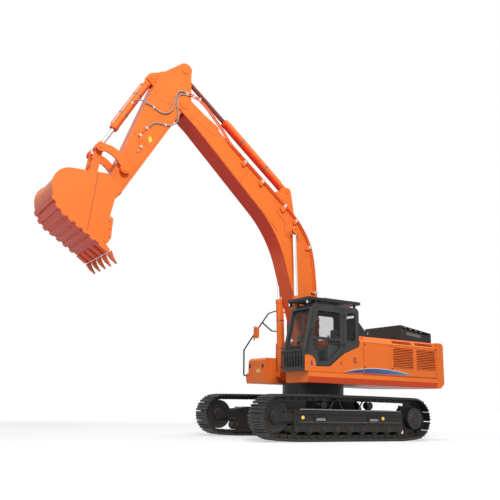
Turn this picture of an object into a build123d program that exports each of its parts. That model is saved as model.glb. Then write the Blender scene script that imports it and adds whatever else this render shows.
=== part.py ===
from build123d import *
from math import acos, atan2, cos, degrees, hypot, radians, sin
import os

os.makedirs("parts", exist_ok=True)

# A 48-tonne class crawler excavator, parked with its boom raised. Sizes are in millimetres.
# +X points to the front, +Y to the left and +Z up. The origin is on the ground, on the swing axis.
# Outlines in the side view are lists of (x, z) points, and in the plan view of (x, y) points.

# ---- clearances ----
running_fit = 0.08      # radial gap between a pin and its bore
side_gap = 6            # between pieces that turn past each other
panel_gap = 8           # round a door or lid
seat_gap = 1            # between pieces that are bolted face to face

# ---- tracks ----
gauge = 2740
shoe_width = 600
wheel_base = 4400
end_wheel_radius = 370
end_wheel_width = 84
idler_lift = 25
sprocket_lift = 40
chain_height = 110
chain_width = 200
shoe_plate = 25
grouser = 30
shoe_count = 52
pin_growth = 58
groove_growth = 117
roller_radius = 117
roller_length = 270
roller_count = 9
front_roller_x = 1650
rear_roller_x = -1700
carrier_radius = 80
carrier_span = 1500
belt_height = 1120
axle_radius = 50
hub_radius = 270
hub_reach = 225

# ---- undercarriage frames ----
side_frame_width = 360
side_frame_low = 412
side_frame_high = 770
side_frame_wall = 16
side_frame_front = 1720
side_frame_rear = -1780
roller_guard_low = 230
roller_guard_wall = 25
body_low = 520
body_high = 1000
body_half_length = 800
leg_half_width = 260
pedestal_radius = 780
pedestal_top = 1118
tie_down_side = 300
tie_down_radius = 35

# ---- upper frame ----
swing_ring_radius = 830
deck_low = 1400
deck_high = 1680
deck_half_width = 1490
deck_front = 1250
deck_rear = -3230
skirt_tuck = 55
deck_floor = 20
deck_rim = 40
slot_half_width = 520
slot_rear = 560
beam_thickness = 40
foot_bracket_inner = 245
foot_bracket_wall = 50
counterweight_depth = 574
counterweight_radius = counterweight_depth - deck_rear
counterweight_top = 2660
bottom_chamfer = 130
top_chamfer = 60
lifting_x = deck_rear - 330
lifting_side = 850
lifting_radius = 32

# ---- cab ----
cab_right = 520
cab_left = 1440
cab_rear = -420
cab_floor = deck_high + seat_gap
cab_roof = 3380
cab_wall = 55
cab_corner = 130
windscreen_foot = (1370, 2120)
windscreen_top = (1110, cab_roof - 90)
cab_toe = (1320, cab_floor)
door_rear = 110
door_front_inset = 70
door_post = 75
glass_thickness = 8
roof_guard_height = 70

# ---- body panels ----
panel = 30
panel_side = deck_half_width - 45
hood_top = 2665
hood_front = -530
hood_chamfer_width = 150
hood_chamfer_height = 165
panel_seams = (950, 200, -550, -1500, -3225)

# ---- boom, arm and bucket: pivots as (x, z) ----
boom_foot = (200, 2250)
boom_half_width = 290
boom_plate = 20
boom_pin = 60
arm_pivot = (4410, 8400)
arm_half_width = 258
arm_plate = 20
boom_cylinder_base = (780, 1620)
boom_cylinder_eye = (970, 5500)
boom_cylinder_side = 405
arm_cylinder_base = (1010, 6710)
arm_cylinder_eye = (4420, 9390)
bucket_cylinder_base = (5280, 8975)
rocker_pivot = (5920, 6260)
link_pivot = (6545, 6685)
bucket_pivot = (6100, 5760)
ear_pin = (6660, 5930)
linkage_pin = 45
bucket_cylinder_eye_radius = 95
bucket_half_width = 800
bucket_plate = 30
wear_bar_count = 7
wear_bar_start = 340
wear_bar_pitch = 202
wear_bar_half = 66
wear_bar_height = 38
tooth_count = 5
tooth_pitch = 375
barrel_wall = 18
gland_length = 110
collar_step = 8
rod_eye_radius = 110


def side_plane(y):
    return Plane.XZ.offset(-y)


def slab(outline, low, high, mode=Mode.ADD):
    """A plate cut to a side-view outline, from y = low to y = high."""
    with BuildSketch(side_plane((low + high) / 2)) as face:
        with BuildLine():
            Polyline(*outline, close=True)
        make_face()
    extrude(face.sketch, amount=(high - low) / 2, both=True, mode=mode)


def rounded_slab(outline, radii, low, high, mode=Mode.ADD):
    """A slab whose corners are rounded by one radius, or by one for each corner."""
    with BuildSketch(side_plane((low + high) / 2)) as face:
        with BuildLine():
            FilletPolyline(*outline, radius=radii, close=True)
        make_face()
    extrude(face.sketch, amount=(high - low) / 2, both=True, mode=mode)


def long_bar(section, rear, front, mode=Mode.ADD):
    """A bar along X with a cross-section given as y, z."""
    with BuildSketch(Plane.YZ.offset(rear)) as face:
        with BuildLine():
            Polyline(*section, close=True)
        make_face()
    extrude(face.sketch, amount=front - rear, mode=mode)


def block(x, y, z, mode=Mode.ADD):
    """A box given by its low and high limits along each axis."""
    centre = tuple((low + high) / 2 for low, high in (x, y, z))
    with Locations(centre):
        Box(x[1] - x[0], y[1] - y[0], z[1] - z[0], mode=mode)


def bar(centre, radius, low, high, mode=Mode.ADD):
    """A round bar along Y through a side-view point."""
    with BuildSketch(side_plane((low + high) / 2)) as face:
        with Locations(centre):
            Circle(radius)
    extrude(face.sketch, amount=(high - low) / 2, both=True, mode=mode)


def strap(first, first_radius, second, second_radius, low, high, mode=Mode.ADD):
    """A plate round two circles and the lines that touch both."""
    with BuildSketch(side_plane((low + high) / 2)) as face:
        with BuildLine():
            CenterArc(first, first_radius, 0, 360)
            CenterArc(second, second_radius, 0, 360)
        make_hull()
    extrude(face.sketch, amount=(high - low) / 2, both=True, mode=mode)


def along(start, end, distance):
    """The point at a distance from start on the way to end."""
    length = hypot(end[0] - start[0], end[1] - start[1])
    return tuple(s + (e - s) * distance / length for s, e in zip(start, end))


def cylinder_plane(base, eye, y):
    """A plane square to a cylinder at its base pin, with its normal towards the rod's eye."""
    direction = (eye[0] - base[0], 0, eye[1] - base[1])
    return Plane(origin=(base[0], y, base[1]), x_dir=(0, 1, 0), z_dir=direction)


def both_sides(side):
    return (side, -side)


def save(piece, name):
    piece.part.label = name
    export_step(piece.part, f"parts/{name}.step")


# ======== tracks ========

idler_x = wheel_base / 2
belt_inner = chain_height + shoe_plate + grouser
idler_z = end_wheel_radius + belt_inner + idler_lift
sprocket_z = end_wheel_radius + belt_inner + sprocket_lift
roller_z = roller_radius + belt_inner
carrier_z = belt_height - belt_inner - carrier_radius

# The wheels that the chain runs round, counter-clockwise in the side view: x, z, radius.
belt_wheels = [
    (rear_roller_x, roller_z, roller_radius),
    (front_roller_x, roller_z, roller_radius),
    (idler_x, idler_z, end_wheel_radius),
    (carrier_span / 2, carrier_z, carrier_radius),
    (-carrier_span / 2, carrier_z, carrier_radius),
    (-idler_x, sprocket_z, end_wheel_radius),
]


def belt_face(growth, y):
    """The area inside a belt that lies the given distance outside the wheels."""
    count = len(belt_wheels)
    leave, arrive = {}, {}
    for i, (x1, z1, r1) in enumerate(belt_wheels):
        x2, z2, r2 = belt_wheels[(i + 1) % count]
        angle = atan2(z2 - z1, x2 - x1) - acos((r1 - r2) / hypot(x2 - x1, z2 - z1))
        leave[i] = angle
        arrive[(i + 1) % count] = angle
    with BuildSketch(side_plane(y)) as face:
        with BuildLine():
            for i, (x, z, r) in enumerate(belt_wheels):
                turn = (leave[i] - arrive[i]) % radians(360)
                CenterArc((x, z), r + growth, degrees(arrive[i]), degrees(turn))
                x2, z2, r2 = belt_wheels[(i + 1) % count]
                start = (x + (r + growth) * cos(leave[i]), z + (r + growth) * sin(leave[i]))
                end = (x2 + (r2 + growth) * cos(leave[i]), z2 + (r2 + growth) * sin(leave[i]))
                Line(start, end)
        make_face()
    return face.sketch


def shoe_edge():
    """The outer edge of a track in the side view, over the three ribs of every shoe."""
    line = belt_face(pin_growth, 0).wire()
    pitch = line.length / shoe_count
    pins = [line.position_at(i * pitch, position_mode=PositionMode.LENGTH) for i in range(shoe_count)]
    # Along the chain from a shoe's middle, and outside the wheels.
    plate_growth = chain_height + shoe_plate
    shoe_profile = [
        (-98, plate_growth), (-72, belt_inner), (-36, plate_growth), (0, belt_inner),
        (36, plate_growth), (72, belt_inner), (98, plate_growth), (pitch / 2 - 1, groove_growth),
    ]
    middle_z = belt_height / 2
    edge = []
    for i, pin in enumerate(pins):
        following = pins[(i + 1) % shoe_count]
        dx, dz = following.X - pin.X, following.Z - pin.Z
        length = hypot(dx, dz)
        x, z = (pin.X + following.X) / 2, (pin.Z + following.Z) / 2
        way_out = 1 if x * dz - (z - middle_z) * dx > 0 else -1
        for at, growth in shoe_profile:
            rise = (growth - pin_growth) * way_out
            edge.append((x + (dx * at + dz * rise) / length, z + (dz * at - dx * rise) / length))
    return edge


track_sides = (("left", gauge / 2), ("right", -gauge / 2))
track_edge = shoe_edge()
for side, track_y in track_sides:
    with BuildPart() as track:
        slab(track_edge, track_y - shoe_width / 2, track_y + shoe_width / 2)
        extrude(belt_face(chain_height, track_y), amount=shoe_width / 2, both=True, mode=Mode.SUBTRACT)
        extrude(belt_face(chain_height, track_y), amount=chain_width / 2, both=True)
        extrude(belt_face(0.5, track_y), amount=chain_width / 2, both=True, mode=Mode.SUBTRACT)
    save(track, f"track_{side}")

with BuildPart() as idlers:
    for side, track_y in track_sides:
        idler = (idler_x, idler_z)
        bar(idler, end_wheel_radius, track_y - end_wheel_width, track_y + end_wheel_width)
        for edge in both_sides(end_wheel_width):
            bar(idler, end_wheel_radius - 60, track_y + edge - 22, track_y + edge + 22, Mode.SUBTRACT)
        bar(idler, 110, track_y - 112, track_y + 112)
        bar(idler, axle_radius, track_y - 155, track_y + 155)
save(idlers, "idlers")

with BuildPart() as sprockets:
    for side, track_y in track_sides:
        sprocket = (-idler_x, sprocket_z)
        bar(sprocket, end_wheel_radius, track_y - 45, track_y + 45)
        bar(sprocket, hub_radius + 0.5, track_y - 46, track_y + 46, Mode.SUBTRACT)
save(sprockets, "sprockets")

with BuildPart() as travel_motors:
    for side, track_y in track_sides:
        outward = 1 if track_y > 0 else -1
        sprocket = (-idler_x, sprocket_z)
        ends = sorted((track_y - outward * hub_reach, track_y + outward * hub_reach))
        bar(sprocket, hub_radius, *ends)
        cap = sorted((track_y + outward * hub_reach, track_y + outward * (hub_reach + 45)))
        bar(sprocket, hub_radius - 90, *cap)
save(travel_motors, "travel_motors")

with BuildPart() as track_rollers:
    step = (front_roller_x - rear_roller_x) / (roller_count - 1)
    for side, track_y in track_sides:
        for i in range(roller_count):
            place = (rear_roller_x + i * step, roller_z)
            bar(place, roller_radius - 1, track_y - roller_length / 2, track_y + roller_length / 2)
            bar(place, axle_radius, track_y - side_frame_width / 2 + roller_guard_wall,
                track_y + side_frame_width / 2 - roller_guard_wall)
save(track_rollers, "track_rollers")

with BuildPart() as carrier_rollers:
    for side, track_y in track_sides:
        for x in both_sides(carrier_span / 2):
            bar((x, carrier_z), carrier_radius - 1, track_y - 95, track_y + 95)
save(carrier_rollers, "carrier_rollers")

# ======== undercarriage frames ========

frame_half = side_frame_width / 2
frame_outline = [
    (side_frame_rear, side_frame_low),
    (side_frame_front, side_frame_low),
    (side_frame_front, side_frame_high - 60),
    (side_frame_front - 400, side_frame_high),
    (side_frame_rear + 300, side_frame_high),
    (side_frame_rear, side_frame_high - 60),
]
w = side_frame_wall
frame_hollow = [
    (side_frame_rear + w, side_frame_low + w),
    (side_frame_front - w, side_frame_low + w),
    (side_frame_front - w, side_frame_high - 60 - w),
    (side_frame_front - 400, side_frame_high - w),
    (side_frame_rear + 300, side_frame_high - w),
    (side_frame_rear + w, side_frame_high - 60 - w),
]
for side, track_y in track_sides:
    outward = 1 if track_y > 0 else -1
    with BuildPart() as track_frame:
        slab(frame_outline, track_y - frame_half, track_y + frame_half)
        slab(frame_hollow, track_y - frame_half + w, track_y + frame_half - w, Mode.SUBTRACT)
        # The guard plates outside the rollers hold their shafts.
        for edge in both_sides(frame_half - roller_guard_wall / 2):
            block((side_frame_rear, side_frame_front),
                  (track_y + edge - roller_guard_wall / 2, track_y + edge + roller_guard_wall / 2),
                  (roller_guard_low, side_frame_low))
        # Ledges along the outer face.
        face_y = track_y + outward * frame_half
        for ledge_z, ledge_x in ((670, (-1700, 1640)), (445, (-1700, 1640))):
            block(ledge_x, sorted((face_y, face_y + outward * 45)), (ledge_z - 12, ledge_z + 12))
        # A fork at the front takes the idler's axle, and a plate at the rear the travel motor.
        for edge in both_sides(135):
            block((side_frame_front, idler_x + 110), (track_y + edge - 18, track_y + edge + 18),
                  (idler_z - 90, idler_z + 90))
            bar((idler_x, idler_z), axle_radius, track_y + edge - 19, track_y + edge + 19,
                Mode.SUBTRACT)
        inner = track_y - outward * (hub_reach - 40)
        motor_plate = sorted((inner, inner - outward * 40))
        bar((-idler_x, sprocket_z), hub_radius + 50, *motor_plate)
        block((-idler_x, side_frame_rear + 60), motor_plate, (sprocket_z - 200, sprocket_z + 180))
        bar((-idler_x, sprocket_z), hub_radius + 0.5, motor_plate[0] - 1, motor_plate[1] + 1,
            Mode.SUBTRACT)
        block((side_frame_rear, side_frame_rear + 60),
              sorted((inner, track_y - outward * frame_half)), (sprocket_z - 160, sprocket_z + 160))
        # Brackets under the carrier rollers.
        for x in both_sides(carrier_span / 2):
            block((x - 45, x + 45), (track_y - 60, track_y + 60),
                  (side_frame_high, carrier_z - carrier_radius))
    save(track_frame, f"track_frame_{side}")

with BuildPart() as car_body:
    reach = gauge / 2 - frame_half
    block((-body_half_length, body_half_length), (-reach + 420, reach - 420), (body_low, body_high))
    for x in both_sides(body_half_length - leg_half_width + 120):
        for y in both_sides(1):
            ends = sorted((y * (reach - 500), y * reach))
            block((x - leg_half_width, x + leg_half_width), ends, (body_low, side_frame_high - 20))
    with BuildSketch(Plane.XY.offset(body_high)):
        Circle(pedestal_radius)
    extrude(amount=pedestal_top - body_high)
    # The middle is hollow, and open below.
    block((-body_half_length + 60, body_half_length - 60), (-reach + 480, reach - 480),
          (body_low - 1, body_high - 40), Mode.SUBTRACT)
    with BuildSketch(Plane.XY.offset(body_high - 60)):
        Circle(pedestal_radius - 120)
    extrude(amount=pedestal_top - body_high + 80, mode=Mode.SUBTRACT)
    # Tie-down lugs at both ends.
    for end in both_sides(1):
        for y in both_sides(tie_down_side):
            lug_x = sorted((end * (body_half_length - 1), end * (body_half_length + 150)))
            block(lug_x, (y - 20, y + 20), (body_low + 20, body_low + 200))
            bar((end * (body_half_length + 80), body_low + 100), tie_down_radius, y - 21, y + 21,
                Mode.SUBTRACT)
save(car_body, "car_body")

# ======== upper frame ========

with BuildPart() as swing_ring:
    with BuildSketch(Plane.XY.offset(pedestal_top + side_gap)):
        Circle(swing_ring_radius)
        Circle(swing_ring_radius - 170, mode=Mode.SUBTRACT)
    extrude(amount=deck_low - pedestal_top - side_gap)
save(swing_ring, "swing_ring")

tail_rear = -counterweight_radius
# The deck's cross-section on its left side: y, z.
skirt_section = [
    (deck_half_width - skirt_tuck, deck_low),
    (deck_half_width, deck_low + 150),
    (deck_half_width - 12, deck_high - 30),
    (deck_half_width - 45, deck_high),
]

with BuildPart() as main_frame:
    with BuildSketch(Plane.YZ.offset(deck_rear)):
        with BuildLine():
            Polyline(*skirt_section, *[(-y, z) for y, z in reversed(skirt_section)], close=True)
        make_face()
    extrude(amount=deck_front - deck_rear)
    # Hollow from above, with a floor and a rim.
    rim = deck_half_width - 45 - deck_rim
    block((deck_rear + deck_rim, deck_front - deck_rim), (-rim, rim),
          (deck_low + deck_floor, deck_high + 1), Mode.SUBTRACT)
    # Rails under the cab and the tanks on both sides of the slot, and two long beams.
    for y in both_sides(1):
        slot_rail = sorted((y * slot_half_width, y * (slot_half_width + beam_thickness)))
        block((slot_rear - 40, deck_front), slot_rail, (deck_low, deck_high))
        beam = sorted((y * foot_bracket_inner, y * (foot_bracket_inner + foot_bracket_wall)))
        block((deck_rear, slot_rear), beam, (deck_low, deck_high))
    block((slot_rear - 40, slot_rear), (-slot_half_width, slot_half_width), (deck_low, deck_high))
    block((slot_rear, deck_front + 1), (-slot_half_width, slot_half_width),
          (deck_low - 1, deck_high + 1), Mode.SUBTRACT)
    # Brackets that hold the boom's foot.
    bracket_outline = [
        (slot_rear, deck_high - 60),
        (boom_foot[0] + 190, boom_foot[1] + 60),
        (boom_foot[0] + 90, boom_foot[1] + 170),
        (boom_foot[0] - 90, boom_foot[1] + 170),
        (boom_foot[0] - 190, boom_foot[1] + 60),
        (-430, deck_high - 60),
    ]
    for y in both_sides(1):
        wall = sorted((y * foot_bracket_inner, y * (foot_bracket_inner + foot_bracket_wall)))
        slab(bracket_outline, *wall)
    pin_end = foot_bracket_inner + foot_bracket_wall + 30
    bar(boom_foot, boom_pin, -pin_end, pin_end)
    for y in both_sides(foot_bracket_inner + foot_bracket_wall + 12):
        bar(boom_foot, boom_pin + 50, y - 12, y + 12)
    # Lugs for the boom cylinders.
    for y in both_sides(boom_cylinder_side):
        for edge in both_sides(75):
            lug_outline = [
                (slot_rear - 1, deck_low + 40),
                (boom_cylinder_base[0] - 20, deck_low + 60),
                (boom_cylinder_base[0] + 110, boom_cylinder_base[1] - 60),
                (boom_cylinder_base[0] + 110, boom_cylinder_base[1] + 50),
                (boom_cylinder_base[0] + 50, boom_cylinder_base[1] + 110),
                (slot_rear - 1, deck_high),
            ]
            slab(lug_outline, y + edge - 19, y + edge + 19)
        bar(boom_cylinder_base, boom_pin - 5, y - 94, y + 94)
save(main_frame, "main_frame")

with BuildPart() as counterweight:
    with BuildSketch(Plane.XY.offset(deck_low)):
        with BuildLine():
            side = deck_half_width
            corner_x = -((counterweight_radius ** 2 - side ** 2) ** 0.5)
            front = deck_rear - seat_gap
            Polyline((corner_x, side), (front, side), (front, -side), (corner_x, -side))
            ThreePointArc((corner_x, -side), (tail_rear, 0), (corner_x, side))
        make_face()
    extrude(amount=counterweight_top - deck_low)
    rear_faces = counterweight.faces().filter_by(GeomType.CYLINDER)
    rear_edges = rear_faces[0].edges().filter_by(GeomType.CIRCLE).sort_by(Axis.Z)
    chamfer(rear_edges[0], bottom_chamfer)
    rear_edges = counterweight.faces().filter_by(GeomType.CYLINDER)[0].edges()
    chamfer(rear_edges.filter_by(GeomType.CIRCLE).sort_by(Axis.Z)[-1], top_chamfer)
    # Lifting eyes on top.
    for y in both_sides(lifting_side):
        block((lifting_x - 70, lifting_x + 70), (y - 20, y + 20),
              (counterweight_top - 1, counterweight_top + 110))
        bar((lifting_x, counterweight_top + 55), lifting_radius, y - 21, y + 21, Mode.SUBTRACT)
save(counterweight, "counterweight")

with BuildPart() as engine:
    engine_rear, engine_front = deck_rear + 180, -2350
    block((engine_rear, engine_front), (-650, 650), (deck_high + 40, deck_high + 40 + 900))
    for x in (engine_rear + 100, engine_front - 100):
        for y in both_sides(foot_bracket_inner + foot_bracket_wall / 2):
            block((x - 60, x + 60), (y - 25, y + 25), (deck_high, deck_high + 40))
save(engine, "engine")

# ======== cab ========

cab_outline = [
    (cab_rear, cab_floor),
    cab_toe,
    windscreen_foot,
    windscreen_top,
    (windscreen_top[0] - 70, cab_roof),
    (cab_rear, cab_roof),
]


def inset_outline(outline, amount):
    """A convex side-view outline with every side moved inwards."""
    count = len(outline)
    sides = []
    for i, (x1, z1) in enumerate(outline):
        x2, z2 = outline[(i + 1) % count]
        length = hypot(x2 - x1, z2 - z1)
        nx, nz = -(z2 - z1) / length, (x2 - x1) / length
        sides.append((x1 + nx * amount, z1 + nz * amount, x2 - x1, z2 - z1))
    corners = []
    for i in range(count):
        x1, z1, dx1, dz1 = sides[i - 1]
        x2, z2, dx2, dz2 = sides[i]
        t = ((x2 - x1) * dz2 - (z2 - z1) * dx2) / (dx1 * dz2 - dz1 * dx2)
        corners.append((x1 + dx1 * t, z1 + dz1 * t))
    return corners


def screen_x(z, inset=0):
    """The windscreen's outer face at a height, moved back by an inset."""
    foot, top = windscreen_foot, windscreen_top
    return foot[0] + (top[0] - foot[0]) * (z - foot[1]) / (top[1] - foot[1]) - inset


door_top = cab_roof - 90
door_low_front = deck_high + 150
door_low_rear = deck_high + 560
# A quarter-round fender stands before the door's lower front corner.
fender_front = 1277
fender_rear = 1019
fender_top = 2067
fender_radius = 225
fender_gap = 15
# The door's edge: along the swept top of the side panel, round the fender, then by the front post.
door_outline = [
    (door_rear, door_low_rear),
    (door_rear + 260, door_low_rear - 260),
    (door_rear + 480, door_low_front),
    (fender_rear - fender_gap, door_low_front),
    (fender_rear - fender_gap, fender_top + fender_gap),
    (screen_x(fender_top + fender_gap) - door_post, fender_top + fender_gap),
    (screen_x(door_top) - door_post, door_top),
    (door_rear, door_top),
]
door_radii = [30, 120, 200, 6, fender_radius + fender_gap, 12, 90, 90]
door_gap = 12
door_opening_radii = [r + door_gap for r in door_radii]
door_opening_radii[4] = door_radii[4] - door_gap
mid_rail_z = 2505
mid_rail_half = 28
rail_low, rail_high = mid_rail_z - mid_rail_half, mid_rail_z + mid_rail_half
upper_door_window = [
    (door_rear + 90, rail_high),
    (screen_x(rail_high) - door_post - 95, rail_high),
    (screen_x(door_top) - door_post - 95, door_top - 80),
    (door_rear + 90, door_top - 80),
]
lower_door_window = [
    (door_rear + 90, rail_low),
    (door_rear + 90, door_low_rear + 60),
    (door_rear + 330, door_low_rear - 185),
    (door_rear + 555, door_low_front + 100),
    (fender_rear - 119, door_low_front + 100),
    (fender_rear - 89, fender_top + 113),
    (fender_rear + 61, fender_top + 193),
    (screen_x(rail_low) - door_post - 105, rail_low),
]
window_corner = 70
lower_corner = 40
rear_window = [
    (cab_rear + 110, 2500),
    (door_rear - 110, 2500),
    (door_rear - 110, door_top - 60),
    (cab_rear + 110, door_top - 60),
]
right_window = [
    (cab_rear + 110, 2350),
    (screen_x(2350) - 130, 2350),
    (screen_x(door_top) - 130, door_top - 60),
    (cab_rear + 110, door_top - 60),
]
screen_low = windscreen_foot[1] + 70
screen_high = windscreen_top[1] - 40
toe_low = cab_floor + 110
toe_high = windscreen_foot[1] - 60
back_low, back_high = 2650, cab_roof - 170

with BuildPart() as cab_frame:
    slab(cab_outline, cab_right, cab_left)
    edges = cab_frame.edges().filter_by(Axis.Y).sort_by(Axis.Z)
    rear_top = [e for e in edges if e.center().X < cab_rear + 1 and e.center().Z > cab_roof - 1]
    fillet(rear_top, cab_corner)
    slab(inset_outline(cab_outline, cab_wall), cab_right + cab_wall, cab_left - cab_wall, Mode.SUBTRACT)
    # The door's opening and the windows.
    rounded_slab(inset_outline(door_outline, -door_gap), door_opening_radii,
                 cab_left - cab_wall - 1, cab_left + 1, Mode.SUBTRACT)
    rounded_slab(rear_window, window_corner, cab_left - cab_wall - 1, cab_left + 1, Mode.SUBTRACT)
    rounded_slab(right_window, window_corner, cab_right - 1, cab_right + cab_wall + 1, Mode.SUBTRACT)
    screen_cut = [
        (screen_x(screen_low, -40), screen_low),
        (screen_x(screen_high, -40), screen_high),
        (screen_x(screen_high, cab_wall + 60), screen_high),
        (screen_x(screen_low, cab_wall + 60), screen_low),
    ]
    slab(screen_cut, cab_right + 90, cab_left - 90, Mode.SUBTRACT)
    block((cab_toe[0] - cab_wall - 60, windscreen_foot[0] + 20), (cab_right + 90, cab_left - 90),
          (toe_low, toe_high), Mode.SUBTRACT)
    block((cab_rear - 1, cab_rear + cab_wall + 1), (cab_right + 130, cab_left - 130),
          (back_low, back_high), Mode.SUBTRACT)
save(cab_frame, "cab_frame")

with BuildPart() as cab_glass:
    pane = cab_wall / 2
    for outline, face_y in ((rear_window, cab_left - pane - glass_thickness),
                            (right_window, cab_right + pane)):
        rounded_slab(inset_outline(outline, seat_gap), window_corner - seat_gap,
                     face_y, face_y + glass_thickness)
    screen_pane = [
        (screen_x(screen_low + 1, pane), screen_low + 1),
        (screen_x(screen_high - 1, pane), screen_high - 1),
        (screen_x(screen_high - 1, pane + glass_thickness), screen_high - 1),
        (screen_x(screen_low + 1, pane + glass_thickness), screen_low + 1),
    ]
    slab(screen_pane, cab_right + 91, cab_left - 91)
    toe_slope = (windscreen_foot[0] - cab_toe[0]) / (windscreen_foot[1] - cab_toe[1])
    toe_pane = []
    for z, depth in ((toe_low + 1, pane), (toe_high - 1, pane), (toe_high - 1, pane + glass_thickness),
                     (toe_low + 1, pane + glass_thickness)):
        toe_pane.append((cab_toe[0] + (z - cab_toe[1]) * toe_slope - depth, z))
    slab(toe_pane, cab_right + 91, cab_left - 91)
    block((cab_rear + pane, cab_rear + pane + glass_thickness), (cab_right + 131, cab_left - 131),
          (back_low + 1, back_high - 1))
save(cab_glass, "cab_glass")

hinge_x = door_rear - 25
hinge_y = cab_left + 62
with BuildPart() as cab_door:
    rounded_slab(door_outline, door_radii, cab_left - cab_wall, cab_left)
    for outline, corner in ((upper_door_window, window_corner), (lower_door_window, lower_corner)):
        rounded_slab(outline, corner, cab_left - cab_wall - 1, cab_left + 1, Mode.SUBTRACT)
    # Two hinge arms reach round a pin outside the cab.
    for z in (door_low_rear + 150, door_top - 150):
        block((door_rear + 2, door_rear + 60), (cab_left, cab_left + 28), (z - 30, z + 30))
        block((hinge_x - 14, door_rear + 60), (cab_left + 8, cab_left + 28), (z - 30, z + 30))
        block((hinge_x - 14, hinge_x + 14), (cab_left + 28, hinge_y), (z - 30, z + 30))
        with BuildSketch(Plane.XY.offset(z - 30)):
            with Locations((hinge_x, hinge_y)):
                Circle(14)
        extrude(amount=60)
    # A grab rail beside the front post.
    rail_foot, rail_head = 2180, 2700
    for z in (rail_foot, rail_head):
        x = screen_x(z) - door_post - 45
        block((x - 10, x + 10), (cab_left, cab_left + 60), (z - 10, z + 10))
    rail_side = [(screen_x(z) - door_post - 45 + shift, z) for z, shift in (
        (rail_foot - 10, -11), (rail_foot - 10, 11), (rail_head + 10, 11), (rail_head + 10, -11))]
    slab(rail_side, cab_left + 45, cab_left + 65)
save(cab_door, "cab_door")

with BuildPart() as door_glass:
    for outline, corner in ((upper_door_window, window_corner), (lower_door_window, lower_corner)):
        rounded_slab(inset_outline(outline, seat_gap), corner - seat_gap,
                     cab_left - pane - glass_thickness, cab_left - pane)
save(door_glass, "door_glass")

with BuildPart() as roof_guard:
    guard_low = cab_roof + 90
    block((cab_rear - 60, windscreen_top[0] + 120), (cab_right, cab_left),
          (guard_low, guard_low + roof_guard_height))
    for x in (cab_rear + 100, windscreen_top[0] - 160):
        for y in (cab_right + 60, cab_left - 60):
                block((x - 25, x + 25), (y - 25, y + 25), (cab_roof, guard_low))
    # The visor over the windscreen is open, with leaning slats across it.
    visor_rear, visor_front = 760, 1190
    block((visor_rear, visor_front), (cab_right + 40, cab_left - 40),
          (guard_low - 1, guard_low + roof_guard_height + 1), Mode.SUBTRACT)
    for i in range(7):
        x = visor_rear + 8 + i * 58
        slat = [(x, guard_low + 6), (x + 10, guard_low + 6), (x + 54, guard_low + 64),
                (x + 44, guard_low + 64)]
        slab(slat, cab_right + 39, cab_left - 39)
    # Two work lamps hang from the guard's front corners.
    lamp_rear, lamp_front, lamp_z, lamp_radius = 1145, 1218, 3408, 50
    for y in (cab_right + 62, cab_left - 62):
        with BuildSketch(Plane.YZ.offset(lamp_rear)):
            with Locations((y, lamp_z)):
                Circle(lamp_radius)
        extrude(amount=lamp_front - lamp_rear)
        block((lamp_rear + 15, lamp_rear + 50), (y - 14, y + 14), (lamp_z + 30, guard_low + 1))
save(roof_guard, "roof_guard")

with BuildPart() as front_guard:
    guard_x = windscreen_foot[0] + 30
    guard_right, guard_left = cab_right + 10, cab_left + 50
    for z in (cab_floor + 60, windscreen_foot[1] + 60):
        block((guard_x, guard_x + 25), (guard_right, guard_left), (z - 22, z + 22))
    bar_count = 9
    for i in range(bar_count):
        y = guard_right + 14 + i * (guard_left - guard_right - 28) / (bar_count - 1)
        block((guard_x, guard_x + 25), (y - 14, y + 14), (cab_floor + 38, windscreen_foot[1] + 82))
    for y in (cab_right + 30, cab_left - 30):
        block((cab_toe[0] + 10, guard_x), (y - 12, y + 12), (cab_floor + 48, cab_floor + 72))
        block((windscreen_foot[0] - 3, guard_x), (y - 12, y + 12),
              (windscreen_foot[1] + 20, windscreen_foot[1] + 44))
save(front_guard, "front_guard")

inside_floor = cab_floor + cab_wall
with BuildPart() as operator_seat:
    seat_y = (cab_right + cab_left) / 2
    block((60, 480), (seat_y - 240, seat_y + 240), (inside_floor, inside_floor + 380))
    block((20, 540), (seat_y - 245, seat_y + 245), (inside_floor + 380, inside_floor + 500))
    slab([(-80, inside_floor + 440), (60, inside_floor + 440), (-20, inside_floor + 1120),
          (-140, inside_floor + 1120)], seat_y - 240, seat_y + 240)
save(operator_seat, "operator_seat")

with BuildPart() as cab_console:
    for y in (seat_y - 320, seat_y + 320):
        block((0, 560), (y - 65, y + 65), (inside_floor, inside_floor + 620))
        with BuildSketch(Plane.XY.offset(inside_floor + 620)):
            with Locations((480, y)):
                Circle(22)
        extrude(amount=200)
save(cab_console, "cab_console")

# ======== body panels ========

fit_z = deck_high + seat_gap
hood_nose = -430
# The panel's edge, from its lower front corner over the fender and up to the hood: x, z and radius.
swoosh_corners = [
    (fender_front, fit_z, 2),
    (fender_front, fender_top, 10),
    (fender_rear, fender_top, fender_radius),
    (fender_rear, 1798, 14),
    (560, 1812, 200),
    (85, 2165, 400),
    (hood_nose + 20, 2370, 60),
    (hood_nose, hood_top - hood_chamfer_height, 5),
    (hood_front - panel_gap / 2, hood_top - hood_chamfer_height, 2),
    (hood_front - panel_gap / 2, fit_z, 2),
]
with BuildPart() as left_side_panel:
    swoosh = [(x, z) for x, z, radius in swoosh_corners]
    rounded_slab(swoosh, [radius for x, z, radius in swoosh_corners], panel_side, panel_side + panel)
    # The fender's front edge turns in towards the cab.
    with BuildSketch(Plane.XY.offset(fit_z)):
        with BuildLine():
            Polyline((fender_front - 40, panel_side), (fender_front + 58, panel_side),
                     (fender_front, panel_side + panel), (fender_front - 40, panel_side + panel),
                     close=True)
        make_face()
    extrude(amount=fender_top - fit_z)
save(left_side_panel, "left_side_panel")

chamfer_foot = hood_top - hood_chamfer_height
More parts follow.
